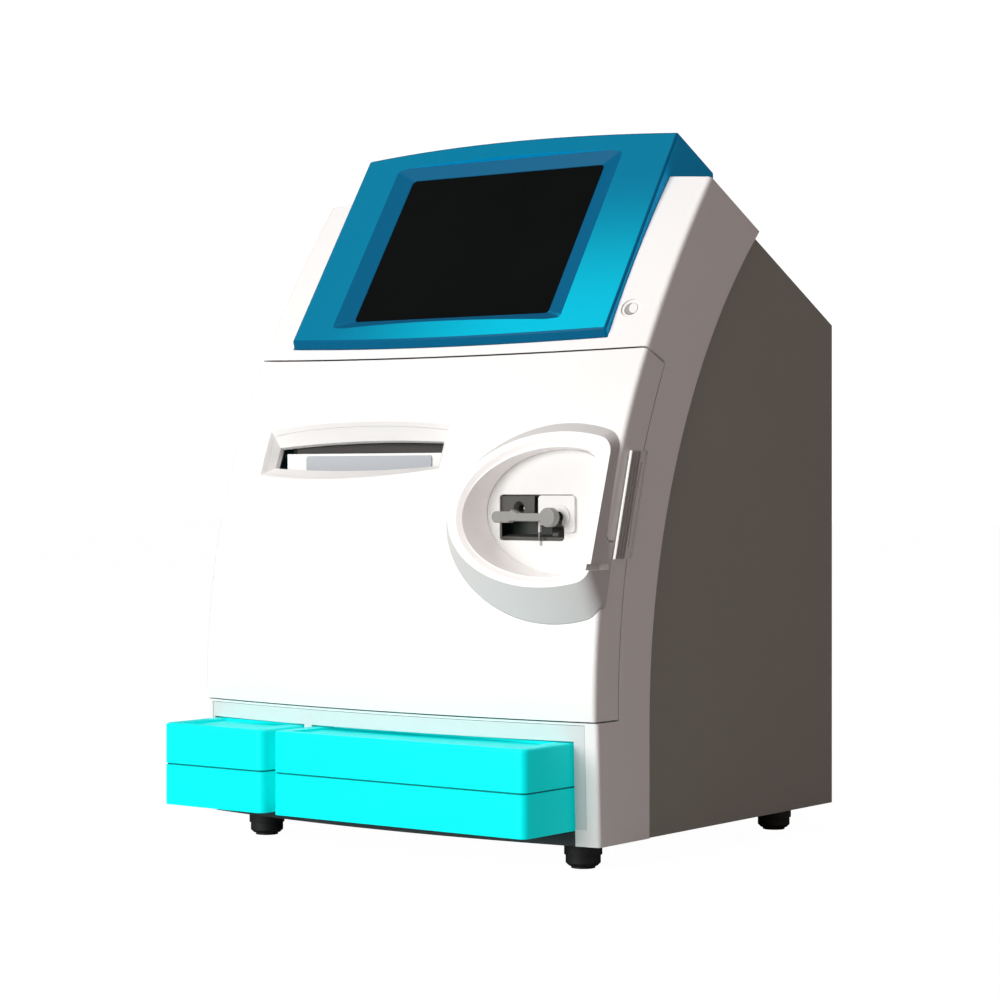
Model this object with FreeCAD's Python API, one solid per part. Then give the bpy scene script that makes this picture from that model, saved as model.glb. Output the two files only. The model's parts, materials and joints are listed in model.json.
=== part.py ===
import FreeCAD, Part
import math
import os

# Bench-top blood gas analyzer with a swing-open front door, a raised touch
# screen and two pull-out packs. Millimetres, +Z up, the front looks along -Y,
# the origin is on the floor under the centre of the whole object.

# Driving sizes of the body
body_width = 340.0
body_depth = 308.0
pack_reach = 52.0
rear_reach = 2.0
foot_height = 18.0
wall = 3.0
seam_gap = 1.0
fit_gap = 0.3
slide_gap = 0.1
rest_gap = 0.05
overrun = 40.0

# Height of the base: feet, pack and the brow over it
pack_lift = 10.0
pack_height = 56.8
brow_height = 13.2
base_top_z = foot_height + pack_lift + pack_height + brow_height

# Side outline of the front: upright foot, two tangent arcs, sloping roof
base_setback_top = 2.6
base_setback_bottom = 5.4
upright_z = 105.0
lower_front_radius = 495.0
upper_front_radius = 880.0
door_top_z = 342.0
roof_slope = 27.2
front_bow = 15.4
front_edge_radius = 3.0
station_shares = (-1.0, -0.55, 0.0, 0.55, 1.0)

# Screen, from which the pod and the hood take their height
glass_width = 182.0
glass_height = 138.0
pod_lean = 32.4
pod_foot_rise = 8.0
glass_foot = 13.8
pod_brow = 15.68
hood_drop = 34.0
pod_tilt = math.radians(pod_lean)
pod_foot_z = door_top_z + pod_foot_rise
glass_low_z = pod_foot_z + glass_foot
pod_top_z = glass_low_z + glass_height * math.cos(pod_tilt) + pod_brow
hood_top_z = pod_top_z - hood_drop

# Grey casing behind the white hood
casing_side_inset = 1.7
casing_roof_drop = 6.0
casing_seam_tighter = 25.0
casing_seam_dip = 10.0
casing_seam_radius = lower_front_radius - casing_seam_tighter
casing_seam_upright_z = upright_z - casing_seam_dip
casing_seam_depth = 63.0
casing_lip = 8.0

# Worked out from the driving sizes
half_width = body_width / 2
total_depth = pack_reach + body_depth + rear_reach
front_y = pack_reach - total_depth / 2
back_y = front_y + body_depth
floor_z = foot_height
plan_radius = (half_width ** 2 + front_bow ** 2) / (2 * front_bow)
bend_angle = math.asin((door_top_z - upright_z) / lower_front_radius)
slope = math.radians(roof_slope)


def vec(x, y, z):
    return FreeCAD.Vector(x, y, z)


def box(x0, x1, y0, y1, z0, z1):
    return Part.makeBox(x1 - x0, y1 - y0, z1 - z0, vec(x0, y0, z0))


def cylinder(radius, start, end):
    axis = end - start
    return Part.makeCylinder(radius, axis.Length, start, axis)


def line(a, b):
    return Part.LineSegment(a, b).toShape()


def arc(a, b, c):
    return Part.Arc(a, b, c).toShape()


def polygon(points):
    return Part.Wire(Part.makePolygon(points + [points[0]]).Edges)


def yz_prism(points, x0, x1):
    """A prism along X whose outline is given as (y, z) points."""
    face = Part.Face(polygon([vec(x0, y, z) for y, z in points]))
    return face.extrude(vec(x1 - x0, 0, 0))


def xz_prism(points, y0, y1):
    """A prism along Y whose outline is given as (x, z) points."""
    face = Part.Face(polygon([vec(x, y0, z) for x, z in points]))
    return face.extrude(vec(0, y1 - y0, 0))


def rounded_wire(width, height, radius, y=0.0, x=0.0, z=0.0):
    """A rounded rectangle about (x, z) in a plane that faces along Y."""
    a, b = width / 2, height / 2
    c = radius * (1 - math.sqrt(0.5))
    edges = []
    corners = ((1, 1), (-1, 1), (-1, -1), (1, -1))
    ends = []
    for sx, sz in corners:
        side = vec(x + sx * a, y, z + sz * (b - radius))
        middle = vec(x + sx * (a - c), y, z + sz * (b - c))
        top = vec(x + sx * (a - radius), y, z + sz * b)
        order = (side, middle, top) if sx * sz > 0 else (top, middle, side)
        ends.append(order)
    for i, corner in enumerate(ends):
        edges.append(arc(*corner))
        edges.append(line(corner[2], ends[(i + 1) % 4][0]))
    return Part.Wire(edges)


def rounded_block(width, height, radius, y0, y1, x=0.0, z=0.0):
    face = Part.Face(rounded_wire(width, height, radius, y0, x, z))
    return face.extrude(vec(0, y1 - y0, 0))


def edges_where(shape, test):
    return [e for e in shape.Edges if test(e.valueAt((e.FirstParameter + e.LastParameter) / 2))]


def join(first, *others):
    return first.multiFuse(list(others)).removeSplitter() if others else first


def cut(shape, *tools):
    for tool in tools:
        shape = shape.cut(tool)
    return shape


def group(solids):
    return Part.makeCompound([s for shape in solids for s in shape.Solids])


def placed(shape, position, lean=0.0, turn=0.0):
    """Lean a local shape back about X, turn it about Z and move it into place."""
    copy = shape.copy()
    copy.Placement = FreeCAD.Placement(position, FreeCAD.Rotation(turn, 0, -lean))
    return copy


def around(count, angle=360.0):
    return [i * angle / count for i in range(count)]


made = {}


def save(name, shape):
    solids = shape.Solids
    shape = solids[0] if len(solids) == 1 else Part.makeCompound(solids)
    if not shape.isValid() or not solids:
        raise ValueError(name + " is not a valid solid")
    made[name] = shape
    shape.exportStep("parts/" + name + ".step")


# Outer form of the body, shared by hood, door, pack bay and casing

def bow(x):
    """How far the plan of the front stands forward at x."""
    return math.sqrt(plan_radius ** 2 - x ** 2) - math.sqrt(plan_radius ** 2 - half_width ** 2)


def lower_centre(x):
    return front_y + lower_front_radius - bow(x), upright_z


def upper_centre(x):
    y, z = lower_centre(x)
    grow = upper_front_radius - lower_front_radius
    return y + grow * math.cos(bend_angle), z - grow * math.sin(bend_angle)


def front_at(x, z, inset=0.0):
    """Y of the front face at (x, z), pulled in by inset."""
    below = z <= upright_z + (lower_front_radius - inset) * math.sin(bend_angle)
    y, cz = lower_centre(x) if below else upper_centre(x)
    radius = (lower_front_radius if below else upper_front_radius) - inset
    return y - math.sqrt(radius ** 2 - (z - cz) ** 2)


def front_normal(x, z):
    """Unit vector out of the front face at (x, z)."""
    below = z <= door_top_z
    y, cz = lower_centre(x) if below else upper_centre(x)
    radius = lower_front_radius if below else upper_front_radius
    rise = math.asin((z - cz) / radius)
    swing = math.asin(x / plan_radius)
    normal = vec(math.tan(swing) * math.cos(rise), -math.cos(rise), math.sin(rise))
    return normal.normalize()


roof_offset = math.sin(slope) * front_at(half_width, hood_top_z) + math.cos(slope) * hood_top_z


def roof_at(y, drop=0.0):
    """Z of the roof plane at depth y, lowered square to itself by drop."""
    return (roof_offset - drop - math.sin(slope) * y) / math.cos(slope)


def front_profile(x, inset, drop, bottom_z, rear_y):
    cy, cz = upper_centre(x)
    radius = upper_front_radius - inset
    level = roof_offset - drop - math.sin(slope) * cy - math.cos(slope) * cz
    top_angle = slope + math.asin(level / radius)

    def upper(angle):
        return vec(x, cy - radius * math.cos(angle), cz + radius * math.sin(angle))

    ly, lz = lower_centre(x)
    low_radius = lower_front_radius - inset
    low_angle = math.asin((bottom_z - lz) / low_radius)

    def lower(angle):
        return vec(x, ly - low_radius * math.cos(angle), lz + low_radius * math.sin(angle))

    top, bend, foot = upper(top_angle), upper(bend_angle), lower(low_angle)
    back_low = vec(x, rear_y, bottom_z)
    back_top = vec(x, rear_y, roof_at(rear_y, drop))
    return Part.Wire([
        line(foot, back_low),
        line(back_low, back_top),
        line(back_top, top),
        arc(top, upper((top_angle + bend_angle) / 2), bend),
        arc(bend, lower((bend_angle + low_angle) / 2), foot),
    ])


def upper_form(inset, drop, bottom_z, rear_y, side):
    stations = [share * side for share in station_shares]
    return Part.makeLoft([front_profile(x, inset, drop, bottom_z, rear_y) for x in stations], True, False)


def base_form(inset, bottom_z, top_z, rear_y, side):
    """The low front part round the pack bay, set back under the door."""
    wires = []
    rise = base_top_z - floor_z
    lean = (base_setback_bottom - base_setback_top) / rise
    for share in station_shares:
        x = share * side
        face_top = front_y + base_setback_top + inset - bow(x) + lean * (base_top_z - top_z)
        face_low = front_y + base_setback_top + inset - bow(x) + lean * (base_top_z - bottom_z)
        wires.append(polygon([vec(x, face_low, bottom_z), vec(x, rear_y, bottom_z),
                              vec(x, rear_y, top_z), vec(x, face_top, top_z)]))
    return Part.makeLoft(wires, True, False)


def soften_front(shape, low_z, high_z):
    def corner(p):
        return abs(abs(p.x) - half_width) < fit_gap and p.y < front_at(half_width, p.z) + wall \
            and low_z < p.z < high_z
    return shape.makeFillet(front_edge_radius, edges_where(shape, corner))


body_upper = soften_front(upper_form(0, 0, base_top_z, back_y, half_width), base_top_z + wall, hood_top_z - wall)
body_base = soften_front(base_form(0, floor_z, base_top_z, back_y, half_width), floor_z + wall, base_top_z - wall)
body_upper_inside = upper_form(wall, wall, base_top_z, back_y + overrun, half_width - wall)
body_base_inside = base_form(wall, floor_z - overrun, base_top_z, back_y + overrun, half_width - wall)


# Front door: one shell over the full width that wraps both sides

door_return = 26.0
return_drop = 10.0
return_top_z = door_top_z - return_drop
door_top_sag = 3.0
return_top_slope = 24.6


def seam_y(z):
    """Depth of the door's rear edge on the sides."""
    return front_at(half_width, z) + door_return


def door_zone(grow):
    """Everything in front of the door's seam, grown by grow."""
    far_y = front_y - front_bow - overrun
    low_z = base_top_z + seam_gap - grow
    centre_y, centre_z = front_y + lower_front_radius + door_return, upright_z
    radius = lower_front_radius - grow

    def edge(z):
        return vec(0, centre_y - math.sqrt(radius ** 2 - (z - centre_z) ** 2), z)

    tilt = math.tan(math.radians(return_top_slope))
    rise = grow / math.cos(math.radians(return_top_slope))
    low, high = edge(low_z), edge(return_top_z + grow)
    middle = edge((low_z + high.z) / 2)
    crest_z = door_top_z + rise
    crest_y = high.y - (crest_z - high.z) / tilt
    side = half_width + overrun
    wire = Part.Wire([
        line(vec(0, far_y, low_z), low),
        arc(low, middle, high),
        line(high, vec(0, crest_y, crest_z)),
        line(vec(0, crest_y, crest_z), vec(0, far_y, crest_z)),
        line(vec(0, far_y, crest_z), vec(0, far_y, low_z)),
    ])
    wire.translate(vec(-side, 0, 0))
    zone = Part.Face(wire).extrude(vec(2 * side, 0, 0))
    sag_line = [vec(-half_width, far_y, crest_z), vec(0, far_y, crest_z - door_top_sag),
                vec(half_width, far_y, crest_z)]
    crown = Part.Wire([
        arc(*sag_line),
        line(sag_line[2], vec(side, far_y, crest_z + overrun)),
        line(vec(side, far_y, crest_z + overrun), vec(-side, far_y, crest_z + overrun)),
        line(vec(-side, far_y, crest_z + overrun), sag_line[0]),
    ])
    depth = high.y - far_y
    return zone.cut(Part.Face(crown).extrude(vec(0, depth, 0)))


# Hinges of the door: two three-knuckle hinges on one leaning axis at the left

hinge_margin = 42.0
hinge_lower_z = base_top_z + hinge_margin
hinge_upper_z = door_top_z - hinge_margin
hinge_axis_inset = 0.7
knuckle_radius = 2.9
knuckle_length = 12.0
knuckle_gap = 0.3
pin_radius = 1.25
pin_clearance = 0.05
pin_head_radius = 2.2
pin_head_height = 1.2
leaf_width = 14.0
leaf_thickness = 1.5
leaf_split = 0.4
hinge_notch_clearance = 1.4

hinge_x = -half_width + hinge_axis_inset
hinge_rise = hinge_upper_z - hinge_lower_z
hinge_lean = math.degrees(math.atan2(seam_y(hinge_upper_z) - seam_y(hinge_lower_z), hinge_rise))
hinge_length = 3 * knuckle_length + 2 * knuckle_gap
hinge_points = [vec(hinge_x, seam_y(z), z) for z in (hinge_lower_z, hinge_upper_z)]


def knuckle(z0, z1):
    return cylinder(knuckle_radius, vec(0, 0, z0), vec(0, 0, z1))


def hinge_leaf(side, turning):
    """One leaf in local axes: the pin along Z, the wall towards +X."""
    inner_x = wall - hinge_axis_inset
    outer_x = inner_x + leaf_thickness
    half = hinge_length / 2
    pitch = knuckle_length + knuckle_gap
    y0, y1 = sorted((side * leaf_split, side * leaf_width))
    plate = box(inner_x, outer_x, y0, y1, -half, half)
    bands = [(i * pitch - knuckle_length / 2, i * pitch + knuckle_length / 2) for i in (-1, 0, 1)]
    own = [bands[1]] if turning else [bands[0], bands[2]]
    other = [bands[0], bands[2]] if turning else [bands[1]]
    w0, w1 = sorted((side * leaf_split, side * (knuckle_radius - leaf_split)))
    for z0, z1 in own:
        plate = join(plate, knuckle(z0, z1), box(0, outer_x, w0, w1, z0, z1))
    for z0, z1 in other:
        clear = cylinder(knuckle_radius + knuckle_gap, vec(0, 0, z0 - knuckle_gap), vec(0, 0, z1 + knuckle_gap))
        plate = plate.cut(clear)
    bore = cylinder(pin_radius + pin_clearance, vec(0, 0, -half - wall), vec(0, 0, half + wall))
    return plate.cut(bore)


def at_hinges(shape):
    return [placed(shape, point, hinge_lean) for point in hinge_points]


def hinge_notches():
    radius = knuckle_radius + hinge_notch_clearance
    half = hinge_length / 2 + fit_gap + pin_head_height + knuckle_gap
    return at_hinges(cylinder(radius, vec(0, 0, -half), vec(0, 0, half)))


# Sampler recess: a D-shaped ring that stands out of the door, and its tunnel

ring_right = 39.0
ring_drop = 106.2
ring_stand = 13.2
ring_lean = 18.3
ring_turn = 2.4
rim_half_width = 81.0
rim_half_height = 53.4
rim_band = 6.8
rim_left_band = 9.8
rim_bevel = 3.0
rim_right_band = 11.5
ring_corner = 10.0
skirt_right = 42.0
skirt_drop = 9.8
skirt_half_width = 84.5
skirt_half_height = 69.0
skirt_lean = 14.2
skirt_turn = 6.0
skirt_depth = 6.0
heel_depth = 5.0
notch_width = 2.5
notch_drop = 35.1
notch_height = 4.0
tunnel_wall = 2.2
floor_depth = 24.0
floor_offset = 3.0
floor_drop = 2.8
floor_half_width = 66.0
floor_half_height = 41.5
floor_right = 12.0
door_hole_clearance = 0.4

ring_x = half_width - ring_right
ring_z = door_top_z - ring_drop
ring_y = front_at(half_width, ring_z) - ring_stand
ring_centre = vec(ring_x, ring_y, ring_z)
skirt_x = half_width - skirt_right
skirt_z = ring_z - skirt_drop
skirt_y = front_at(skirt_x, skirt_z) + skirt_depth
floor_x = ring_x - floor_offset
floor_mid_z = ring_z - floor_drop
floor_right_x = half_width - floor_right
sampler_floor_y = ring_y + floor_depth


def d_wire(half_x, half_z, right, y=0.0, x=0.0, z=0.0):
    """An ellipse in the XZ plane whose right end is cut off upright, with rounded corners."""
    start = math.acos(min(right / half_x, 1.0))
    corner_angle = ring_corner / math.hypot(half_x * math.sin(start), half_z * math.cos(start))
    ellipse = Part.Ellipse(vec(x + half_x, y, z), vec(x, y, z + half_z), vec(x, y, z))
    bow_edge = ellipse.toShape(start + corner_angle, 2 * math.pi - start - corner_angle)
    ends = [bow_edge.valueAt(bow_edge.FirstParameter), bow_edge.valueAt(bow_edge.LastParameter)]
    corners = [vec(x + right, y, z + side * half_z * math.sin(start)) for side in (1, -1)]
    flats = [corners[0] - vec(0, 0, ring_corner), corners[1] + vec(0, 0, ring_corner)]
    middles = [(end + flat) / 4 + corner / 2 for end, flat, corner in zip(ends, flats, corners)]
    return Part.Wire([
        bow_edge,
        arc(ends[1], middles[1], flats[1]),
        line(flats[1], flats[0]),
        arc(flats[0], middles[0], ends[0]),
    ])


def ring_place(wire):
    wire = wire.copy()
    wire.Placement = FreeCAD.Placement(ring_centre, FreeCAD.Rotation(ring_turn, 0, -ring_lean))
    return wire


def tunnel(offset, reach):
    """The tapering D tunnel from in front of the rim to the sampler floor plus reach."""
    upright = math.cos(math.radians(ring_lean))
    rim = (ring_x, ring_z, rim_half_width - rim_left_band, (rim_half_height - rim_band) * upright,
           half_width - rim_right_band)
    end = (floor_x, floor_mid_z, floor_half_width, floor_half_height, floor_right_x)
    wires = []
    for y in (ring_y - overrun, sampler_floor_y + reach):
        share = (y - ring_y) / floor_depth
        x, z, half_x, half_z, right = [a + (b - a) * share for a, b in zip(rim, end)]
        wires.append(d_wire(half_x + offset, half_z + offset, right + offset - x, y, x, z))
    return Part.makeLoft(wires, True, True)


def sampler_surround():
    """The flaring D ring on the door with the tunnel that it carries."""
    rim = ring_place(d_wire(rim_half_width, rim_half_height, ring_right))
    skirt = d_wire(skirt_half_width, skirt_half_height, skirt_right)
    skirt.Placement = FreeCAD.Placement(vec(skirt_x, skirt_y, skirt_z),
                                        FreeCAD.Rotation(skirt_turn, 0, -skirt_lean))
    heel = Part.Face(skirt).extrude(vec(0, heel_depth, 0))
    notch_z = ring_z - notch_drop
    notch = box(half_width - notch_width, half_width + overrun, ring_y - overrun, skirt_y,
                notch_z - notch_height, notch_z)
    reach = 2 * rim_half_width
    seat = upper_form(-rest_gap, -rest_gap, base_top_z, back_y, half_width + rest_gap)
    flare = cut(Part.makeLoft([skirt, rim], True, True).fuse(heel), seat, notch)
    ahead = placed(box(-reach, reach, -reach, 0, -reach, reach), ring_centre, ring_lean, ring_turn)
    tube = tunnel(tunnel_wall, -fit_gap).cut(ahead)
    lip_x, lip_z = rim_half_width - rim_left_band, rim_half_height - rim_band
    right = ring_right - rim_right_band
    bevel = Part.makeLoft([
        ring_place(d_wire(lip_x + rim_bevel, lip_z + rim_bevel, right + rim_bevel)),
        ring_place(d_wire(lip_x, lip_z, right, rim_bevel)),
    ], True, True)
    return cut(flare.fuse(tube), tunnel(0, 0), bevel)


# Printer slot: a flat pyramid pocket in the bowed door, which gives it its
# boat-shaped outline, with an arched letterbox at its bottom

slot_left = 36.0
slot_ring_gap = 15.0
slot_drop = 51.7
slot_height = 32.2
slot_low_rise = 4.6
slot_high_rise = 2.7
slot_belly = 3.3
slot_crown = 0.2
slot_depth = 8.5
slot_forward = 8.0
slot_wall = 1.6
slot_collar = 4.0
letterbox_left = 5.0
letterbox_right = 9.2
letterbox_low = 8.5
letterbox_high = 10.2
letterbox_low_rise = 1.2
letterbox_high_rise = 3.2
letterbox_belly = 2.8
letterbox_crown = 2.6

slot_x0 = slot_left - half_width
slot_x1 = ring_x - rim_half_width - slot_ring_gap
slot_high_z = door_top_z - slot_drop
slot_low_z = slot_high_z - slot_height
slot_mid_x = (slot_x0 + slot_x1) / 2
slot_mid_z = (slot_low_z + slot_high_z) / 2
slot_end_y = [front_at(x, slot_mid_z) for x in (slot_x0, slot_x1)]
slot_tilt = math.asin((slot_mid_z - upright_z) / lower_front_radius)
slot_turn = math.atan2(slot_end_y[1] - slot_end_y[0], slot_x1 - slot_x0)
slot_centre = vec(slot_mid_x, (slot_end_y[0] + slot_end_y[1]) / 2, slot_mid_z)


def slot_wire(depth, grow):
    """The pocket's outline at a depth below the chord of its two ends."""
    share = depth / slot_depth
    half_x = (slot_x1 - slot_x0) / math.cos(slot_turn) / 2
    half_z = slot_height / math.cos(slot_tilt) / 2
    x0 = share * letterbox_left - half_x - grow
    x1 = half_x - share * letterbox_right + grow
    low = share * letterbox_low - half_z - grow
    high = half_z - share * letterbox_high + grow
    low_rise = slot_low_rise + (letterbox_low_rise - slot_low_rise) * share
    high_rise = slot_high_rise + (letterbox_high_rise - slot_high_rise) * share
    belly = slot_belly + (letterbox_belly - slot_belly) * share
    crown = slot_crown + (letterbox_crown - slot_crown) * share
    middle = (x0 + x1) / 2
    corners = [vec(x0, depth, low), vec(x1, depth, low + low_rise),
               vec(x1, depth, high + high_rise), vec(x0, depth, high)]
    return Part.Wire([
        arc(corners[0], vec(middle, depth, low + low_rise / 2 - belly), corners[1]),
        line(corners[1], corners[2]),
        arc(corners[2], vec(middle, depth, high + high_rise / 2 + crown), corners[3]),
        line(corners[3], corners[0]),
    ])


def slot_place(shape):
    return placed(shape, slot_centre, math.degrees(slot_tilt), math.degrees(slot_turn))


def slot_pocket(grow, reach):
    """The pocket from in front of the door down to the letterbox plus reach."""
    wires = [slot_wire(-slot_forward, grow), slot_wire(slot_depth + reach, grow)]
    return slot_place(Part.makeLoft(wires, True, True))


def slot_letterbox(grow, depth):
    face = Part.Face(slot_wire(slot_depth, grow))
    return slot_place(face.extrude(vec(0, depth, 0)))


def printer_surround():
    """The moulding that carries the pocket on behind the door's skin."""
    funnel_outside = slot_pocket(slot_wall, 0)
    collar = slot_letterbox(slot_wall, slot_collar)
    hull = funnel_outside.fuse(collar).common(body_upper_inside)
    flange = slot_pocket(slot_wall + wall, 0).common(body_upper_inside)
    flange = flange.cut(upper_form(wall + slot_wall, wall, base_top_z, back_y, half_width))
    return cut(join(hull, flange), slot_pocket(0, 0), slot_letterbox(0, slot_collar + wall))


# Door grip: a ribbed insert on the right return

grip_below = 32.5
grip_above = 38.0
grip_front = 8.5
grip_rear = 4.0
grip_plate = 0.4
grip_ridge_height = 2.2
grip_ridge_width = 1.4
grip_rib_height = 0.8
grip_rib_width = 0.9
grip_ribs = 4
scoop_width = 5.5
scoop_depth = 1.6

grip_low_z = ring_z - grip_below
grip_high_z = ring_z + grip_above


def leaning_bar(front0, front1, x0, x1, z0, z1):
    """A bar on the side that follows the front's lean, given behind the front."""
    return yz_prism([(front_at(half_width, z0) + front0, z0), (front_at(half_width, z0) + front1, z0),
                     (front_at(half_width, z1) + front1, z1), (front_at(half_width, z1) + front0, z1)], x0, x1)


def door_grip():
    """A pad on the door's side: one tall ridge in front, low ribs behind it."""
    x1 = half_width + grip_plate
    rear = door_return - grip_rear
    plate = leaning_bar(grip_front, rear, half_width, x1, grip_low_z, grip_high_z)
    ridge = leaning_bar(grip_front, grip_front + grip_ridge_width, half_width, half_width + grip_ridge_height,
                        grip_low_z, grip_high_z)
    pitch = (rear - grip_front - grip_rib_width) / grip_ribs
    ribs = []
    for i in range(grip_ribs):
        start = grip_front + (i + 1) * pitch
        ribs.append(leaning_bar(start, start + grip_rib_width, x1, x1 + grip_rib_height, grip_low_z, grip_high_z))
    return join(plate, ridge, *ribs)


def finger_scoop():
    """A shallow step in the hood behind the grip, where the fingertips go."""
    start = door_return + seam_gap / 2
    return leaning_bar(start, start + scoop_width, half_width - scoop_depth, half_width + overrun,
                       grip_low_z, grip_high_z)


def door_shell():
    shell = body_upper.cut(body_upper_inside).common(door_zone(0))
    return cut(shell, tunnel(tunnel_wall + door_hole_clearance, -fit_gap), slot_pocket(0, 0), *hinge_notches())


# Pod with the screen: a bowed wedge that stands on the hood

pod_side_gap = 31.5
pod_foot_sag = 3.0
pod_chin = 5.2
pod_chin_rise = 6.0
pod_arch = 4.0
pod_back_reach = 54.0
pod_sink = 5.0
pod_wall = 3.0
pod_clearance = 0.4
pod_edge_radius = 2.0
pod_station_shares = (-1.0, -0.5, 0.0, 0.5, 1.0)
glass_thickness = 3.0
glass_corner = 3.0
view_width = 171.0
view_height = 127.0
opening_width = 208.0
opening_height = 145.0
opening_depth = 5.0
opening_corner = 3.0
funnel_wall = 2.5

pod_half_width = half_width - pod_side_gap
pod_face_low_z = pod_foot_z + pod_chin_rise
pod_side_face_y = front_at(pod_half_width, pod_face_low_z) - pod_chin
pod_back_y = front_at(half_width, hood_top_z) + pod_back_reach
glass_rise = glass_low_z + glass_height * math.cos(pod_tilt) / 2
glass_centre = vec(0, pod_side_face_y + (glass_rise - pod_face_low_z) * math.tan(pod_tilt), glass_rise)


def pod_profile(x, grow, inset):
    share = 1 - (x / pod_half_width) ** 2
    forward = bow(x) - bow(pod_half_width)
    sag, arch = pod_foot_sag * share, pod_arch * share
    step = inset - grow
    side_y = pod_side_face_y - forward + step / math.cos(pod_tilt)
    low_z = pod_face_low_z - sag + step
    top_z = pod_top_z + arch - step
    face_low = (side_y + (low_z - pod_face_low_z) * math.tan(pod_tilt), low_z)
    face_top = (side_y + (top_z - pod_face_low_z) * math.tan(pod_tilt), top_z)
    foot_z = pod_foot_z - sag + step
    foot = (front_at(x, foot_z) + step, foot_z)
    back = pod_back_y - step
    roof_z = roof_at(back) + (face_top[1] - roof_at(face_top[0]))
    sink = pod_sink + inset * 3
    inner_foot = (foot[0] + sink, foot_z)
    inner_top = (front_at(x, hood_top_z) + sink, roof_at(front_at(x, hood_top_z) + sink) - sink)
    inner_back = (back, roof_at(back) - sink)
    points = [foot, face_low, face_top, (back, roof_z), inner_back, inner_top, inner_foot]
    return [vec(x, y, z) for y, z in points]


def pod_form(grow, inset):
    side = pod_half_width + grow - inset
    wires = []
    for share in pod_station_shares:
        points = pod_profile(share * pod_half_width, grow, inset)
        wires.append(polygon([vec(share * side, p.y, p.z) for p in points]))
    return Part.makeLoft(wires, True, False)


def glass_place(shape):
    return placed(shape, glass_centre, pod_lean)


def funnel(extra):
    """The sloping walls from the pod's face down to the glass."""
    reach = overrun
    near = rounded_wire(view_width + 2 * extra, view_height + 2 * extra, opening_corner, 0)
    far = rounded_wire(opening_width + 2 * extra, opening_height + 2 * extra, opening_corner, -opening_depth)
    slope_part = Part.makeLoft([near, far], True, True)
    straight = Part.Face(far).extrude(vec(0, -reach, 0))
    return glass_place(slope_part.fuse(straight))


def screen_bezel():
    """The pod's shell with rounded outer edges and the funnel round the glass."""
    outer = pod_form(0, 0)

    def outside(p):
        front = front_at(p.x, min(p.z, hood_top_z))
        return p.z > pod_foot_z and (p.y < front or p.z > roof_at(p.y))

    outer = outer.makeFillet(pod_edge_radius, edges_where(outer, outside))
    flange = pod_form(wall, 0).common(body_upper_inside)
    shell = outer.fuse(flange).cut(pod_form(0, pod_wall))
    walls = funnel(funnel_wall).common(outer)
    return shell.fuse(walls).cut(funnel(0))


def touch_glass():
    return glass_place(rounded_block(glass_width, glass_height, glass_corner, 0, glass_thickness))


display_thickness = 9.0
display_margin = 4.0
display_frame = 1.5
display_ear = 12.0
display_ear_width = 10.0


def display_module():
    y0 = glass_thickness
    y1 = y0 + display_thickness
    width, height = glass_width + display_margin, glass_height - display_margin
    body = rounded_block(width, height, glass_corner, y0, y1)
    step = rounded_block(width - 5 * display_margin, height - 5 * display_margin, glass_corner,
                         y1 - display_margin, y1 + display_margin / 2)
    return glass_place(join(body, step))


def display_bracket():
    """Sheet frame behind the display, with ears that reach the pod's walls."""
    y0 = glass_thickness + display_thickness
    y1 = y0 + display_frame
    width, height = glass_width + 2 * display_margin, glass_height
    plate = rounded_block(width, height, glass_corner, y0, y1)
    window = rounded_block(width - 5 * display_margin, height - 5 * display_margin, glass_corner,
                           y0 - overrun, y1 + overrun)
    ears = []
    for side in (-1, 1):
        inner = pod_half_width - pod_wall - fit_gap
        for rise in (-height / 3, height / 3):
            x0, x1 = sorted((side * (width / 2 - display_ear), side * inner))
            ears.append(box(x0, x1, y0, y1, rise - display_ear_width / 2, rise + display_ear_width / 2))
    plate = plate.cut(window)
    return glass_place(join(plate, *ears))


# Standby button in a dimple of the right cheek

button_side = 21.3
button_rise = 27.5
button_radius = 4.6
button_clearance = 0.3
button_length = 7.0
button_flush = 0.8
button_travel = 1.2
button_flange = 6.4
button_flange_thickness = 1.2
dimple_radius = 7.0
dimple_depth = 1.0

button_x = half_width - button_side
button_z = door_top_z + button_rise
button_axis = front_normal(button_x, button_z)
button_face = vec(button_x, front_at(button_x, button_z), button_z)


def button_point(depth):
    return button_face - button_axis * depth


def standby_button():
    stem = cylinder(button_radius, button_point(button_flush), button_point(button_length))
    flange = cylinder(button_flange, button_point(wall + rest_gap),
                      button_point(wall + rest_gap + button_flange_thickness))
    return join(stem, flange)


def standby_switch():
    start = button_length + button_travel + fit_gap
    body = cylinder(button_flange, button_point(start), button_point(start + button_length))
    reach = button_flange + button_clearance
    sleeve = cylinder(reach + wall / 2, button_point(wall / 2), button_point(start + wall))
    hollow = cylinder(reach, button_point(0), button_point(start))
    beside = box(pod_half_width + wall + door_hole_clearance, half_width, front_y - overrun, back_y,
                 door_top_z, hood_top_z + overrun)
    sleeve = sleeve.cut(hollow).common(body_upper_inside).common(beside)
    return join(body, sleeve)


# Pack bay, its fascia and the two packs

bay_floor_thickness = 3.2
pack_split_share = 0.5
pack_groove = 1.2
pack_groove_depth = 1.0
pack_corner = 5.5
pack_rear_space = 124.0
pack_wall = 2.2
pack_gap = 0.9
waste_side = 8.0
waste_width = 93.0
pack_space = 9.0
reagent_side = 18.0
lid_margin = 12.0
lid_sink = 1.6
lid_length = 46.0
bay_wall = 2.0
bay_roof = 5.2
bay_setback = 5.0
fascia_lift = 1.0
fascia_brow = 1.5
fascia_left = 5.0
fascia_right = 9.0
fascia_thickness = 2.6

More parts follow.
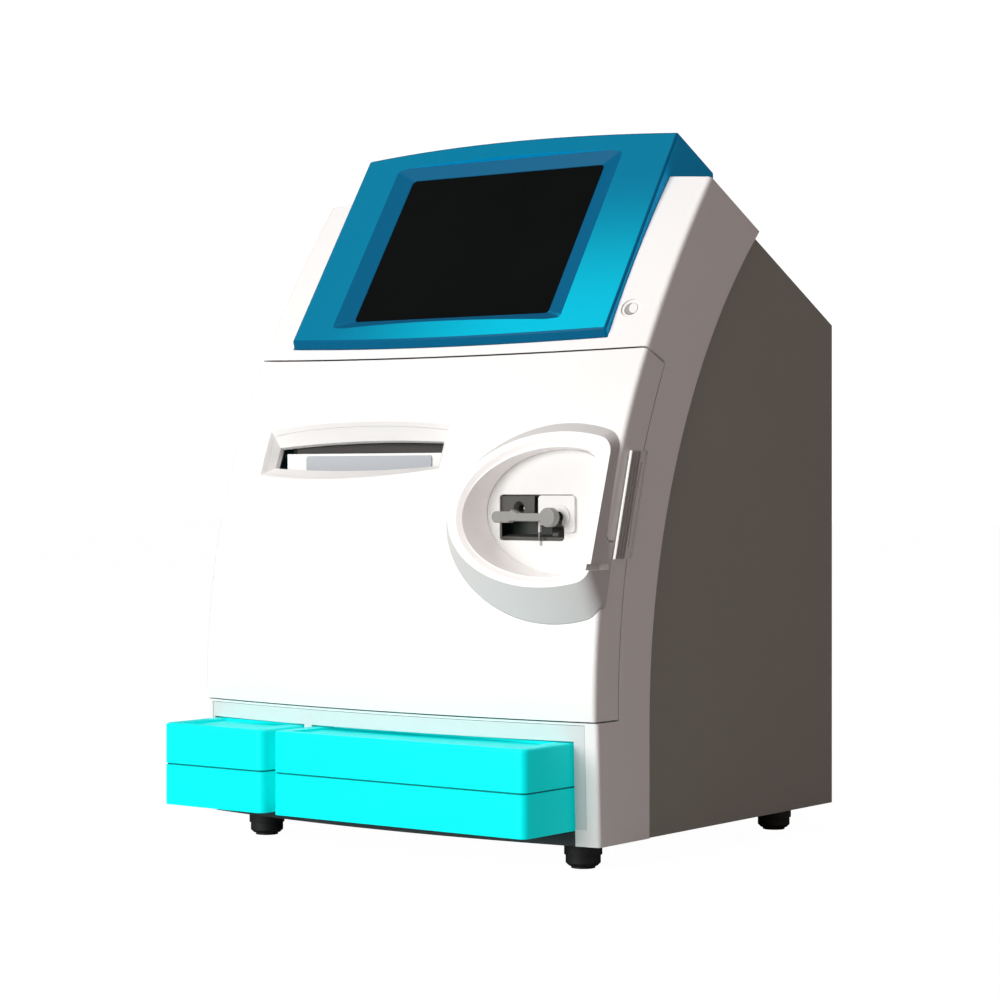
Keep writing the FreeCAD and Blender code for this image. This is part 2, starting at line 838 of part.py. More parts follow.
pack_depth = body_depth + pack_reach - pack_rear_space
pack_front_y = -total_depth / 2
pack_back_y = pack_front_y + pack_depth
pack_bottom_z = floor_z + pack_lift
pack_top_z = pack_bottom_z + pack_height
waste_x0 = waste_side - half_width
waste_x1 = waste_x0 + waste_width
reagent_x0 = waste_x1 + pack_space
reagent_x1 = half_width - reagent_side
bay_top_z = pack_top_z + bay_roof
fascia_low_z = pack_bottom_z + fascia_lift
fascia_top_z = base_top_z - fascia_brow
fascia_left_x = fascia_left - half_width
fascia_right_x = half_width - fascia_right
bay_left_x = waste_x0 - pack_gap - bay_wall
bay_right_x = reagent_x1 + pack_gap + bay_wall
bay_front_y = front_y + base_setback_top + bay_setback


def pack_holes(y0, y1):
    holes = []
    for x0, x1 in ((waste_x0, waste_x1), (reagent_x0, reagent_x1)):
        holes.append(box(x0 - pack_gap, x1 + pack_gap, y0, y1,
                         pack_bottom_z - slide_gap, pack_top_z + pack_gap))
    return holes


def pack_bay():
    """One moulding: floor, sill, walls, divider and roof round both packs."""
    low_z = floor_z + base_plate_thickness
    block = box(bay_left_x, bay_right_x, bay_front_y, bay_back_y, low_z, bay_top_z)
    sill = base_form(fit_gap, floor_z, pack_bottom_z - 2 * fit_gap, bay_front_y + wall, half_width)
    span = box(bay_left_x + bay_wall + fit_gap, bay_right_x - bay_wall - fit_gap, front_y - overrun * 2,
               base_plate_front_y - fit_gap, floor_z, pack_bottom_z)
    block = join(block, sill.common(span))
    block = cut(block, *pack_holes(bay_front_y - overrun, bay_back_y + overrun))
    slots = []
    count = 4
    for x0, x1 in ((waste_x0, waste_x1), (reagent_x0, reagent_x1)):
        pitch = pack_depth / (count + 2)
        inset = (x1 - x0) / 6
        for i in range(count):
            y0 = bay_front_y + (i + 1) * pitch
            slots.append(box(x0 + inset, x1 - inset, y0, y0 + pitch / 2, pack_top_z, bay_top_z + overrun))
    return cut(block, *slots)


def bay_fascia():
    """Bowed frame round the pack openings, let into the hood's base front."""
    skin = base_form(fit_gap, fascia_low_z, fascia_top_z, back_y, half_width)
    inner = base_form(fit_gap + fascia_thickness, fascia_low_z - overrun, fascia_top_z + overrun,
                      back_y + overrun, half_width)
    skin = skin.cut(inner)
    frame = box(fascia_left_x + fit_gap, fascia_right_x - fit_gap, front_y - overrun * 2, back_y,
                fascia_low_z, fascia_top_z - fit_gap)
    skin = skin.common(frame)
    return cut(skin, *fascia_holes())


def fascia_holes():
    holes = []
    low = floor_z - overrun
    for x0, x1 in ((waste_x0, waste_x1), (reagent_x0, reagent_x1)):
        holes.append(box(x0 - pack_gap, x1 + pack_gap, front_y - overrun * 2, back_y, low, pack_top_z + pack_gap))
    return holes


def pack_half(x0, x1, z0, z1, open_up):
    """One moulded half of a pack, open towards the parting line."""
    width, depth = x1 - x0, pack_depth
    face = rounded_wire(width, depth, pack_corner)
    face.rotate(vec(0, 0, 0), vec(1, 0, 0), -90)
    face.translate(vec((x0 + x1) / 2, pack_front_y + depth / 2, z0))
    outer = Part.Face(face).extrude(vec(0, 0, z1 - z0))
    inside = rounded_wire(width - 2 * pack_wall, depth - 2 * pack_wall, pack_corner - pack_wall)
    inside.rotate(vec(0, 0, 0), vec(1, 0, 0), -90)
    floor = z0 + pack_wall if open_up else z0 - pack_wall
    inside.translate(vec((x0 + x1) / 2, pack_front_y + depth / 2, floor))
    return outer.cut(Part.Face(inside).extrude(vec(0, 0, z1 - z0)))


def groove_band(x0, x1, z0, z1):
    """Ring that takes the groove along the parting line."""
    width, depth = x1 - x0, pack_depth
    rings = []
    for shrink in (-pack_groove_depth, pack_groove_depth):
        wire = rounded_wire(width - 2 * shrink, depth - 2 * shrink, pack_corner - pack_groove_depth)
        wire.rotate(vec(0, 0, 0), vec(1, 0, 0), -90)
        wire.translate(vec((x0 + x1) / 2, pack_front_y + depth / 2, z0))
        rings.append(Part.Face(wire).extrude(vec(0, 0, z1 - z0)))
    return rings[0].cut(rings[1])


def pack_base(x0, x1):
    split_z = pack_bottom_z + pack_height * pack_split_share
    tub = pack_half(x0, x1, pack_bottom_z, split_z, True)
    return tub.cut(groove_band(x0, x1, split_z - pack_groove / 2, split_z))


def pack_cover(x0, x1):
    split_z = pack_bottom_z + pack_height * pack_split_share
    cover = pack_half(x0, x1, split_z, pack_top_z, False)
    cover = cover.cut(groove_band(x0, x1, split_z, split_z + pack_groove / 2))
    top_edges = edges_where(cover, lambda p: p.z > pack_top_z - fit_gap and p.y < pack_front_y + pack_wall)
    cover = cover.makeFillet(pack_wall * 0.9, top_edges) if top_edges else cover
    lid = box(x0 + lid_margin, x1 - lid_margin, pack_front_y + lid_margin / 2,
              pack_front_y + lid_margin / 2 + lid_length, pack_top_z - lid_sink, pack_top_z + overrun)
    return cover.cut(lid)


coupling_radius = 5.0
coupling_length = 8.0
septum_radius = 3.4
needle_radius = 1.2
needle_reach = 7.0
manifold_depth = 14.0
reagent_couplings = 5
waste_couplings = 2

bay_back_y = pack_back_y + coupling_length + 2 * fit_gap


def coupling_places(x0, x1, count):
    pitch = (x1 - x0) / (count + 1)
    return [x0 + (i + 1) * pitch for i in range(count)]


def septa(x0, x1, count):
    z = pack_bottom_z + pack_height * pack_split_share / 2
    rings = []
    for x in coupling_places(x0, x1, count):
        ring = cylinder(coupling_radius, vec(x, pack_back_y, z), vec(x, pack_back_y + coupling_length, z))
        bore = cylinder(septum_radius, vec(x, pack_back_y + pack_wall, z),
                        vec(x, pack_back_y + coupling_length + overrun, z))
        rings.append(ring.cut(bore))
    return group(rings)


def needle_manifold():
    """Bar at the bay's end with one hollow needle for every coupling."""
    y0 = bay_back_y
    z = pack_bottom_z + pack_height * pack_split_share / 2
    half = coupling_radius * 2
    bar = box(bay_left_x, bay_right_x, y0, y0 + manifold_depth, z - half, z + half)
    needles = []
    for x0, x1, count in ((waste_x0, waste_x1, waste_couplings), (reagent_x0, reagent_x1, reagent_couplings)):
        for x in coupling_places(x0, x1, count):
            start = vec(x, y0 - coupling_length + pack_wall, z)
            needles.append(cylinder(needle_radius, start, vec(x, y0 + pack_wall, z)))
            spigot = vec(x, y0 + manifold_depth - pack_wall, z)
            needles.append(cylinder(needle_radius * 2, spigot, spigot + vec(0, manifold_depth, 0)))
    feet = []
    for x in (waste_x0 + coupling_radius * 2, reagent_x1 - coupling_radius * 2):
        feet.append(box(x - half / 2, x + half / 2, y0, y0 + manifold_depth,
                        pack_bottom_z - fit_gap, z))
    return join(bar, *(needles + feet))


# Base plate and feet

base_plate_thickness = 2.0
foot_side = 31.0
foot_front = 31.0
foot_rear = 34.0
foot_radius = 12.6
foot_low_radius = 11.6
foot_pad_radius = 8.0
foot_collar = 9.0
foot_chamfer_z = 3.5
foot_pad_z = 1.6
screw_radius = 2.0
screw_head_radius = 3.8
screw_head_height = 2.2
screw_length = 10.0
base_plate_front_y = front_y + base_setback_bottom + wall + fit_gap
foot_x = half_width - foot_side
foot_front_y = front_y + foot_front
foot_rear_y = back_y - foot_rear
foot_places = [(x, y) for x in (-foot_x, foot_x) for y in (foot_front_y, foot_rear_y)]


def base_plate():
    clear = wall + fit_gap
    side = half_width - casing_side_inset - wall
    plate = box(-side, side, base_plate_front_y, back_y - clear, floor_z, floor_z + base_plate_thickness)
    holes = []
    for x, y in foot_places:
        holes.append(cylinder(screw_radius, vec(x, y, 0), vec(x, y, floor_z + overrun)))
    vents = []
    count = 9
    pitch = 2 * foot_x / (count + 3)
    for i in range(count):
        x = (i - (count - 1) / 2) * pitch
        vents.append(box(x - pitch / 6, x + pitch / 6, foot_rear_y - overrun * 2, foot_rear_y - overrun / 2,
                         0, floor_z + overrun))
    return cut(plate, *(holes + vents))


def rubber_foot(x, y):
    """Turned foot: wide collar, chamfered foot of the wall and a small pad."""
    outline = [(0, 0), (foot_pad_radius, 0), (foot_pad_radius, foot_pad_z), (foot_pad_radius + foot_pad_z, foot_pad_z),
               (foot_low_radius, foot_chamfer_z), (foot_low_radius, foot_collar), (foot_radius, foot_collar),
               (foot_radius, floor_z), (0, floor_z)]
    face = Part.Face(polygon([vec(r, 0, z) for r, z in outline]))
    foot = face.revolve(vec(0, 0, 0), vec(0, 0, 1), 360)
    well = cylinder(screw_head_radius + fit_gap, vec(0, 0, 0), vec(0, 0, foot_collar))
    hole = cylinder(screw_radius + fit_gap, vec(0, 0, 0), vec(0, 0, floor_z + overrun))
    foot = cut(foot, well.cut(box(-overrun, overrun, -overrun, overrun, -overrun, 0)), hole)
    foot.translate(vec(x, y, 0))
    return foot


def foot_screws():
    screws = []
    for x, y in foot_places:
        seat = foot_collar
        head = cylinder(screw_head_radius, vec(x, y, seat - screw_head_height), vec(x, y, seat))
        shank = cylinder(screw_radius, vec(x, y, seat), vec(x, y, floor_z + base_plate_thickness - fit_gap))
        screws.append(join(head, shank))
    return group(screws)


# Hood: side bands, cheeks, roof and the frame round the pack bay

def casing_seam(reach):
    """Everything in front of the line where hood and casing meet."""
    centre_y = front_y + casing_seam_depth + casing_seam_radius
    radius = casing_seam_radius + reach

    def edge(angle):
        return vec(0, centre_y - radius * math.cos(angle), casing_seam_upright_z + radius * math.sin(angle))

    top_angle = math.asin((roof_at(back_y - body_depth / 3) + overrun - casing_seam_upright_z) / radius)
    low = vec(0, centre_y - radius, floor_z - overrun)
    upright, top = edge(0), edge(top_angle)
    far_y = front_y - overrun * 2
    side = half_width + overrun
    wire = Part.Wire([
        line(vec(0, far_y, low.z), low),
        line(low, upright),
        arc(upright, edge(top_angle / 2), top),
        line(top, vec(0, far_y, top.z)),
        line(vec(0, far_y, top.z), vec(0, far_y, low.z)),
    ])
    wire.translate(vec(-side, 0, 0))
    return Part.Face(wire).extrude(vec(2 * side, 0, 0))


def front_housing():
    outer = body_upper.fuse(body_base)
    shell = outer.cut(body_upper_inside).cut(body_base_inside)
    edge = outer.cut(casing_seam(-wall)).cut(casing_form(-fit_gap, floor_z - overrun))
    shell = shell.fuse(edge).common(casing_seam(0))
    window = box(fascia_left_x, fascia_right_x, front_y - overrun * 2, front_y + overrun,
                 fascia_low_z, fascia_top_z)
    notch = box(bay_left_x + bay_wall, bay_right_x - bay_wall, front_y - overrun * 2, front_y + overrun,
                floor_z - overrun, fascia_low_z + wall)
    hole = cylinder(button_radius + button_clearance, button_point(-overrun), button_point(overrun / 2))
    dimple = cylinder(dimple_radius, button_point(-overrun), button_point(dimple_depth))
    return cut(shell, door_zone(seam_gap), pod_form(pod_clearance, 0), window, notch, hole, dimple,
               finger_scoop(), *hinge_notches())


# Grey casing with its rear window, and the rear panel

rear_window_side = 20.0
rear_window_sill = 20.0
rear_window_brow = 28.5
rear_window_corner = 8.0
rear_panel_thickness = 1.6
rear_panel_margin = 8.0

rear_window_width = body_width - 2 * rear_window_side
rear_window_low_z = floor_z + rear_window_sill
rear_window_high_z = roof_at(back_y, casing_roof_drop) - rear_window_brow


def casing_form(inset, bottom_z):
    side = half_width - casing_side_inset - inset
    drop = casing_roof_drop + inset
    rear = back_y - inset
    top = roof_at(rear, drop)
    fore = front_at(half_width, hood_top_z)
    return yz_prism([(front_y + wall, bottom_z), (rear, bottom_z), (rear, top), (fore, roof_at(fore, drop)),
                     (front_y + wall, upright_z)], -side, side)


def rear_casing():
    outer = casing_form(0, floor_z)
    shell = outer.cut(casing_form(wall, floor_z - overrun))
    shell = shell.cut(casing_seam(0 - fit_gap))
    lip_out = casing_form(wall - casing_side_inset + fit_gap, floor_z)
    lip = lip_out.cut(casing_form(wall, floor_z - overrun))
    lip = lip.cut(casing_seam(casing_lip)).common(casing_seam(-wall))
    middle_z = (rear_window_low_z + rear_window_high_z) / 2
    window = rounded_block(rear_window_width, rear_window_high_z - rear_window_low_z, rear_window_corner,
                           back_y - overrun, back_y + overrun, 0, middle_z)
    shell = shell.fuse(lip)
    return shell.cut(window)


# Rear panel features

fan_side = 92.0
fan_drop = 78.0
fan_size = 80.0
fan_depth = 25.0
fan_bore = 37.0
fan_hub_radius = 14.0
fan_blades = 7
fan_blade_gap = 1.2
fan_pin_radius = 1.5
fan_guard_wire = 1.4
fan_guard_reach = 51.0
inlet_side = 58.0
inlet_rise = 58.0
inlet_width = 28.0
inlet_height = 34.0
inlet_depth = 24.0
switch_rise = 42.0
switch_width = 21.0
switch_height = 15.0
switch_depth = 14.0
switch_tilt = 8.0
ports_rise = 44.0
port_sizes = {"network": (-40.0, 16.5, 14.0), "usb": (-6.0, 14.5, 8.5), "serial": (40.0, 31.0, 13.0)}
port_depth = 12.0
vent_count = 9
vent_width = 5.0
vent_corner = 2.4
vent_height = 60.0
vent_pitch = 13.0
vent_side = 75.0

fan_x = half_width - fan_side
fan_z = rear_window_high_z - fan_drop
inlet_x = inlet_side - half_width
inlet_z = rear_window_low_z + inlet_rise
switch_z = inlet_z + switch_rise
ports_z = rear_window_low_z + ports_rise
vent_x = vent_side - half_width
vent_z = fan_z
panel_outer_y = back_y - wall
panel_inner_y = panel_outer_y - rear_panel_thickness


def rear_panel():
    middle_z = (rear_window_low_z + rear_window_high_z) / 2
    width = rear_window_width + 2 * rear_panel_margin
    height = rear_window_high_z - rear_window_low_z + 2 * rear_panel_margin
    panel = rounded_block(width, height, rear_window_corner, panel_inner_y, panel_outer_y, 0, middle_z)
    y0, y1 = panel_inner_y - overrun, panel_outer_y + overrun
    tools = [cylinder(fan_bore, vec(fan_x, y0, fan_z), vec(fan_x, y1, fan_z))]
    tools.append(rounded_block(inlet_width, inlet_height, fit_gap * 2, y0, y1, inlet_x, inlet_z))
    tools.append(rounded_block(switch_width + 2 * wall, switch_height + 2 * wall, fit_gap * 2,
                               y0, y1, inlet_x, switch_z))
    for x, w, h in port_sizes.values():
        tools.append(rounded_block(w, h, fit_gap, y0, y1, x, ports_z))
    half_x = rear_window_width / 2 - rear_panel_margin
    for x in (-half_x, 0, half_x):
        for z in (rear_window_low_z + rear_panel_margin, rear_window_high_z - rear_panel_margin):
            tools.append(cylinder(screw_radius, vec(x, y0, z), vec(x, y1, z)))
    for i in range(vent_count):
        x = vent_x + (i - (vent_count - 1) / 2) * vent_pitch
        tools.append(rounded_block(vent_width, vent_height, vent_corner, y0, y1, x, vent_z))
    return cut(panel, *tools)


def panel_screws():
    """Pan-head screws round the rear panel's edge, driven from behind the casing's rim."""
    screws = []
    half_x = rear_window_width / 2 - rear_panel_margin
    for x in (-half_x, 0, half_x):
        for z in (rear_window_low_z + rear_panel_margin, rear_window_high_z - rear_panel_margin):
            head = cylinder(screw_head_radius, vec(x, panel_outer_y, z), vec(x, panel_outer_y + screw_head_height, z))
            shank = cylinder(screw_radius, vec(x, panel_inner_y - wall, z), vec(x, panel_outer_y, z))
            slot = box(x - screw_head_radius, x + screw_head_radius, panel_outer_y + screw_head_height / 2,
                       back_y, z - fit_gap, z + fit_gap)
            screws.append(join(head, shank).cut(slot))
    return group(screws)


def fan_frame():
    y1 = panel_inner_y
    y0 = y1 - fan_depth
    body = rounded_block(fan_size, fan_size, fan_size / 16, y0, y1, fan_x, fan_z)
    bore = cylinder(fan_bore, vec(fan_x, y0 + wall, fan_z), vec(fan_x, y1 + wall, fan_z))
    body = body.cut(bore)
    hollow = cylinder(fan_bore, vec(fan_x, y0 - wall, fan_z), vec(fan_x, y0 + wall, fan_z))
    spokes = []
    for angle in around(4):
        bar = box(-wall, wall, y0, y0 + wall, 0, fan_bore + wall / 2)
        bar.rotate(vec(0, 0, 0), vec(0, 1, 0), angle + 45)
        bar.translate(vec(fan_x, 0, fan_z))
        spokes.append(bar)
    seat = cylinder(fan_hub_radius, vec(fan_x, y0, fan_z), vec(fan_x, y0 + wall, fan_z))
    body = join(body.cut(hollow), seat, *spokes)
    pin = cylinder(fan_pin_radius, vec(fan_x, y0, fan_z), vec(fan_x, y1 - wall * 2, fan_z))
    return join(body, pin)


def fan_rotor():
    """Hub and pitched blades on the frame's pin."""
    y0 = panel_inner_y - fan_depth + wall + fit_gap * 2
    y1 = panel_inner_y - wall
    hub = cylinder(fan_hub_radius, vec(0, y0, 0), vec(0, y1, 0))
    blades = []
    reach = fan_bore - fan_blade_gap
    chord = 2 * math.pi * fan_hub_radius / fan_blades
    thick = wall / 2
    skew = (y1 - y0) / 2
    for angle in around(fan_blades):
        root = polygon([vec(-chord / 2, y0 + thick, 0), vec(-chord / 2 + thick, y0 + thick, 0),
                        vec(chord / 2, y1 - thick, 0), vec(chord / 2 - thick, y1 - thick, 0)])
        tip = root.copy()
        root.translate(vec(0, 0, fan_hub_radius - thick * 2))
        tip.translate(vec(chord / 4, 0, reach - thick))
        blade = Part.makeLoft([root, tip], True, True)
        blade.rotate(vec(0, 0, 0), vec(0, 1, 0), angle)
        blades.append(blade)
    rotor = join(hub, *blades)
    limit = cylinder(reach, vec(0, y0, 0), vec(0, y1, 0))
    bore = cylinder(fan_pin_radius + pin_clearance, vec(0, y0 - skew, 0), vec(0, y1 - wall, 0))
    rotor = rotor.common(limit).cut(bore)
    rotor.translate(vec(fan_x, 0, fan_z))
    return rotor


def fan_guard():
    """Finger guard of concentric rings on four stays, proud of the panel."""
    y0 = panel_outer_y
    y1 = y0 + fan_guard_wire
    rings = []
    count = 4
    for i in range(count):
        radius = fan_bore * (i + 1) / count
        outer = cylinder(radius, vec(fan_x, y0, fan_z), vec(fan_x, y1, fan_z))
        inner = cylinder(radius - fan_guard_wire, vec(fan_x, y0 - wall, fan_z), vec(fan_x, y1 + wall, fan_z))
        rings.append(outer.cut(inner))
    for angle in around(4):
        stay = box(-fan_guard_wire / 2, fan_guard_wire / 2, y0, y1, fan_bore / count - fan_guard_wire, fan_guard_reach)
        stay.rotate(vec(0, 0, 0), vec(0, 1, 0), angle + 45)
        stay.translate(vec(fan_x, 0, fan_z))
        rings.append(stay)
    return join(*rings)


def power_inlet():
    """Appliance inlet: flanged socket with three flat pins in its well."""
    y1 = panel_outer_y
    body = rounded_block(inlet_width, inlet_height, fit_gap * 2, y1 - inlet_depth, y1, inlet_x, inlet_z)
    flange = rounded_block(inlet_width + 2 * wall, inlet_height + 2 * wall, wall, y1, y1 + rear_panel_thickness,
                           inlet_x, inlet_z)
    well = rounded_block(inlet_width - 2 * wall, inlet_height - 4 * wall, wall, y1 - inlet_depth + wall,
                         y1 + overrun, inlet_x, inlet_z)
    shape = join(body, flange).cut(well)
    pins = []
    for dx, dz in ((0, wall * 1.5), (-wall * 2.2, -wall), (wall * 2.2, -wall)):
        pins.append(box(inlet_x + dx - wall / 3, inlet_x + dx + wall / 3, y1 - inlet_depth + wall / 2, y1 - 2 * wall,
                        inlet_z + dz - wall, inlet_z + dz + wall))
    return join(shape, *pins)


def switch_frame():
    y1 = panel_outer_y
    outer = rounded_block(switch_width + 2 * wall, switch_height + 2 * wall, fit_gap * 2,
                          y1 - switch_depth - wall, y1, inlet_x, switch_z)
    flange = rounded_block(switch_width + 4 * wall, switch_height + 4 * wall, wall, y1, y1 + rear_panel_thickness / 2,
                           inlet_x, switch_z)
    well = rounded_block(switch_width + 2 * fit_gap, switch_height + 2 * fit_gap, fit_gap,
                         y1 - switch_depth, y1 + overrun, inlet_x, switch_z)
    pin = cylinder(fan_pin_radius, vec(inlet_x - switch_width / 2 - wall / 2, rocker_y, switch_z),
                   vec(inlet_x + switch_width / 2 + wall / 2, rocker_y, switch_z))
    return join(join(outer, flange).cut(well), pin)


rocker_y = panel_outer_y - switch_depth / 2
rocker_lift = 5.0


def power_rocker():
    """Rocker that tips about a cross pin inside its frame."""
    x0, x1 = inlet_x - switch_width / 2, inlet_x + switch_width / 2
    half = switch_height / 2 - fit_gap * 4
    tip = rocker_lift
    wedge = yz_prism([(rocker_y - tip, switch_z - half / 2), (rocker_y - tip, switch_z + half / 2),
                      (rocker_y + tip, switch_z + half), (rocker_y + tip - wall / 2, switch_z),
                      (rocker_y + tip, switch_z - half)], x0, x1)
    bore = cylinder(fan_pin_radius + pin_clearance, vec(x0 - wall, rocker_y, switch_z),
                    vec(x1 + wall, rocker_y, switch_z))
    return wedge.cut(bore)


def data_ports():
    shapes = []
    for x, w, h in port_sizes.values():
        body = rounded_block(w, h, fit_gap, panel_inner_y - port_depth, panel_outer_y + rear_panel_thickness / 2, x, ports_z)
        well = rounded_block(w - wall, h - wall, fit_gap, panel_outer_y - port_depth / 2, panel_outer_y + overrun, x, ports_z)
        shapes.append(body.cut(well))
    return group(shapes)


# Inner frame and bulkhead that carry the modules behind the door

printer_depth = 52.6
tear_setback = 6.8
tear_thickness = 2.0
bulkhead_thickness = 2.0
bulkhead_side = 12.0
bulkhead_drop = 12.0
bulkhead_flange = 14.0

tear_front_y = front_at(slot_x0, slot_high_z) + tear_setback
printer_front_y = tear_front_y + tear_thickness
bulkhead_y = printer_front_y + printer_depth
bulkhead_half_width = half_width - bulkhead_side
bulkhead_top_z = door_top_z - bulkhead_drop


def inner_frame():
    """Folded sheet: bulkhead with side flanges, standing on the bay's roof."""
    y0, y1 = bulkhead_y, bulkhead_y + bulkhead_thickness
    plate = box(-bulkhead_half_width, bulkhead_half_width, y0, y1, bay_top_z, bulkhead_top_z)
    folds = []
    for side in (-1, 1):
        x0, x1 = sorted((side * (bulkhead_half_width - bulkhead_thickness), side * bulkhead_half_width))
        folds.append(box(x0, x1, y0, y1 + bulkhead_flange, bay_top_z, bulkhead_top_z))
    foot = box(-bulkhead_half_width, bulkhead_half_width, y0, y1 + bulkhead_flange, bay_top_z,
               bay_top_z + bulkhead_thickness)
    cap = box(-bulkhead_half_width, bulkhead_half_width, y0, y1 + bulkhead_flange,
              bulkhead_top_z - bulkhead_thickness, bulkhead_top_z)
    shape = join(plate, foot, cap, *folds)
    holes = []
    for x in pump_places:
        holes.append(cylinder(motor_boss_radius, vec(x, y0 - overrun, pump_z), vec(x, y1 + overrun, pump_z)))
    return cut(shape, *holes)


# Peristaltic pumps

pump_left = 58.0
pump_pitch = 70.0
pump_rise = 39.0
pump_size = 58.0
pump_depth = 20.0
pump_bore = 23.0
pump_back = 3.0
roller_count = 3
roller_orbit = 13.5
roller_radius = 4.6
roller_cover_share = 0.7
rotor_plate = 2.0
motor_radius = 18.0
motor_length = 34.0
motor_boss_radius = 9.0
motor_shaft_radius = 2.5

pump_places = (pump_left - half_width, pump_left - half_width + pump_pitch)
pump_z = bay_top_z + pump_rise
pump_back_y = bulkhead_y
pump_front_y = pump_back_y - pump_depth


def pump_housings():
    heads = []
    for x in pump_places:
        body = rounded_block(pump_size, pump_size, pump_size / 10, pump_front_y, pump_back_y, x, pump_z)
        bore = cylinder(pump_bore, vec(x, pump_front_y - wall, pump_z), vec(x, pump_back_y - pump_back, pump_z))
        through = cylinder(motor_boss_radius - fit_gap * 3, vec(x, pump_front_y, pump_z), vec(x, pump_back_y + wall, pump_z))
        slot = box(x - pump_bore, x + pump_bore, pump_front_y - wall, pump_back_y - pump_back,
                   pump_z, pump_z + pump_size)
        heads.append(cut(body, bore, slot, through))
    return group(heads)


def pump_rotor(x):
    """Two discs with three rollers between them on the motor's shaft."""
    y0 = pump_front_y + fit_gap
    y1 = pump_back_y - pump_back - fit_gap * 2
    disc_radius = roller_orbit + roller_radius * roller_cover_share
    discs = [cylinder(disc_radius, vec(x, y0, pump_z), vec(x, y0 + rotor_plate, pump_z)),
             cylinder(disc_radius, vec(x, y1 - rotor_plate, pump_z), vec(x, y1, pump_z)),
             cylinder(roller_radius, vec(x, y0, pump_z), vec(x, y1, pump_z))]
    for angle in around(roller_count):
        dx, dz = roller_orbit * math.sin(math.radians(angle)), roller_orbit * math.cos(math.radians(angle))
        discs.append(cylinder(roller_radius, vec(x + dx, y0 + rotor_plate / 2, pump_z + dz),
                              vec(x + dx, y1 - rotor_plate / 2, pump_z + dz)))
    bore = cylinder(motor_shaft_radius + pin_clearance, vec(x, y0 + rotor_plate, pump_z), vec(x, y1 + overrun, pump_z))
    return join(*discs).cut(bore)


def pump_motors():
    motors = []
    for x in pump_places:
        y0 = bulkhead_y + bulkhead_thickness
        can = cylinder(motor_radius, vec(x, y0, pump_z), vec(x, y0 + motor_length, pump_z))
        boss = cylinder(motor_boss_radius - fit_gap, vec(x, y0 - bulkhead_thickness, pump_z), vec(x, y0 + wall, pump_z))
        shaft = cylinder(motor_shaft_radius, vec(x, pump_front_y + fit_gap + rotor_plate + fit_gap, pump_z), vec(x, y0, pump_z))
        motors.append(join(can, boss, shaft))
    return group(motors)


# Measuring chamber with its sensors

chamber_gap = 62.0
chamber_side = 28.0
chamber_rise = 5.0
chamber_height = 36.0
chamber_depth = 34.0
sensor_count = 8
sensor_radius = 5.0
sensor_cap_radius = 6.2
sensor_height = 20.0
chamber_cover_thickness = 3.0

chamber_x0 = pump_places[1] + chamber_gap
chamber_x1 = half_width - chamber_side
chamber_z0 = bay_top_z + chamber_rise
chamber_z1 = chamber_z0 + chamber_height


def sensor_places():
    pitch = (chamber_x1 - chamber_x0) / sensor_count
    return [chamber_x0 + (i + 0.5) * pitch for i in range(sensor_count)]


def measuring_chamber():
    y0 = bulkhead_y - chamber_depth
    block = box(chamber_x0, chamber_x1, y0, bulkhead_y, chamber_z0, chamber_z1)
    middle = y0 + chamber_depth / 2
    tools = []
    for x in sensor_places():
        tools.append(cylinder(sensor_radius + fit_gap, vec(x, middle, chamber_z0 + sensor_height / 2),
                              vec(x, middle, chamber_z1 + overrun)))
    channel = cylinder(needle_radius, vec(chamber_x0 - wall, middle, chamber_z0 + sensor_height / 4),
                       vec(chamber_x1 + wall, middle, chamber_z0 + sensor_height / 4))
    return cut(block, channel, *tools)


def sensors():
    middle = bulkhead_y - chamber_depth / 2
    plugs = []
    for x in sensor_places():
        stem = cylinder(sensor_radius, vec(x, middle, chamber_z0 + sensor_height / 2 + fit_gap),
                        vec(x, middle, chamber_z1 + sensor_height / 4))
        cap = cylinder(sensor_cap_radius, vec(x, middle, chamber_z1), vec(x, middle, chamber_z1 + sensor_height / 2))
        plugs.append(join(stem, cap))
    return group(plugs)


def chamber_cover():
    y1 = bulkhead_y - chamber_depth
    cover = box(chamber_x0 + wall, chamber_x1 - wall, y1 - chamber_cover_thickness, y1,
                chamber_z0 + wall, chamber_z1 - wall)
    return cover.makeFillet(wall / 2, edges_where(cover, lambda p: p.y < y1 - chamber_cover_thickness + fit_gap / 2))


# Sampler: panel at the tunnel's end, port block, plate, disc and lever

panel_thickness = 2.5
window_left = 55.6
window_right = 2.4
window_below = 18.8
window_above = 11.9
window_corner = 2.5
slit_height = 1.6
slit_margin = 2.5
port_offset = 40.4
port_rise = 2.7
port_block_left = 14.2
port_block_right = 12.9
port_block_below = 7.2
port_block_above = 8.2
port_block_depth = 26.0
port_radius = 2.4
port_lead_radius = 4.6
plate_left = 17.2
plate_right = 12.3
plate_below = 10.0
plate_above = 14.4
plate_thickness = 2.0
plate_leg = 1.3
plate_notch_below = 5.4
plate_notch_right = 2.9
plate_notch_above = 1.8
plate_notch_left = 5.4
lever_offset = 5.0
lever_fall = 3.0
disc_radius = 8.6
disc_thickness = 1.0
boss_radius = 6.4
boss_reach = 13.0
boss_edge = 0.8
lever_reach = 45.5
arm_height = 5.4
arm_depth = 5.5
pad_height = 7.6
pad_corner = 3.4
pad_length = 16.0
horn_height = 2.4
shaft_radius = 2.5
lug_radius = 6.2
lug_length = 9.0
lug_post = 5.0
stay_size = 9.0
stay_rise_share = 0.62

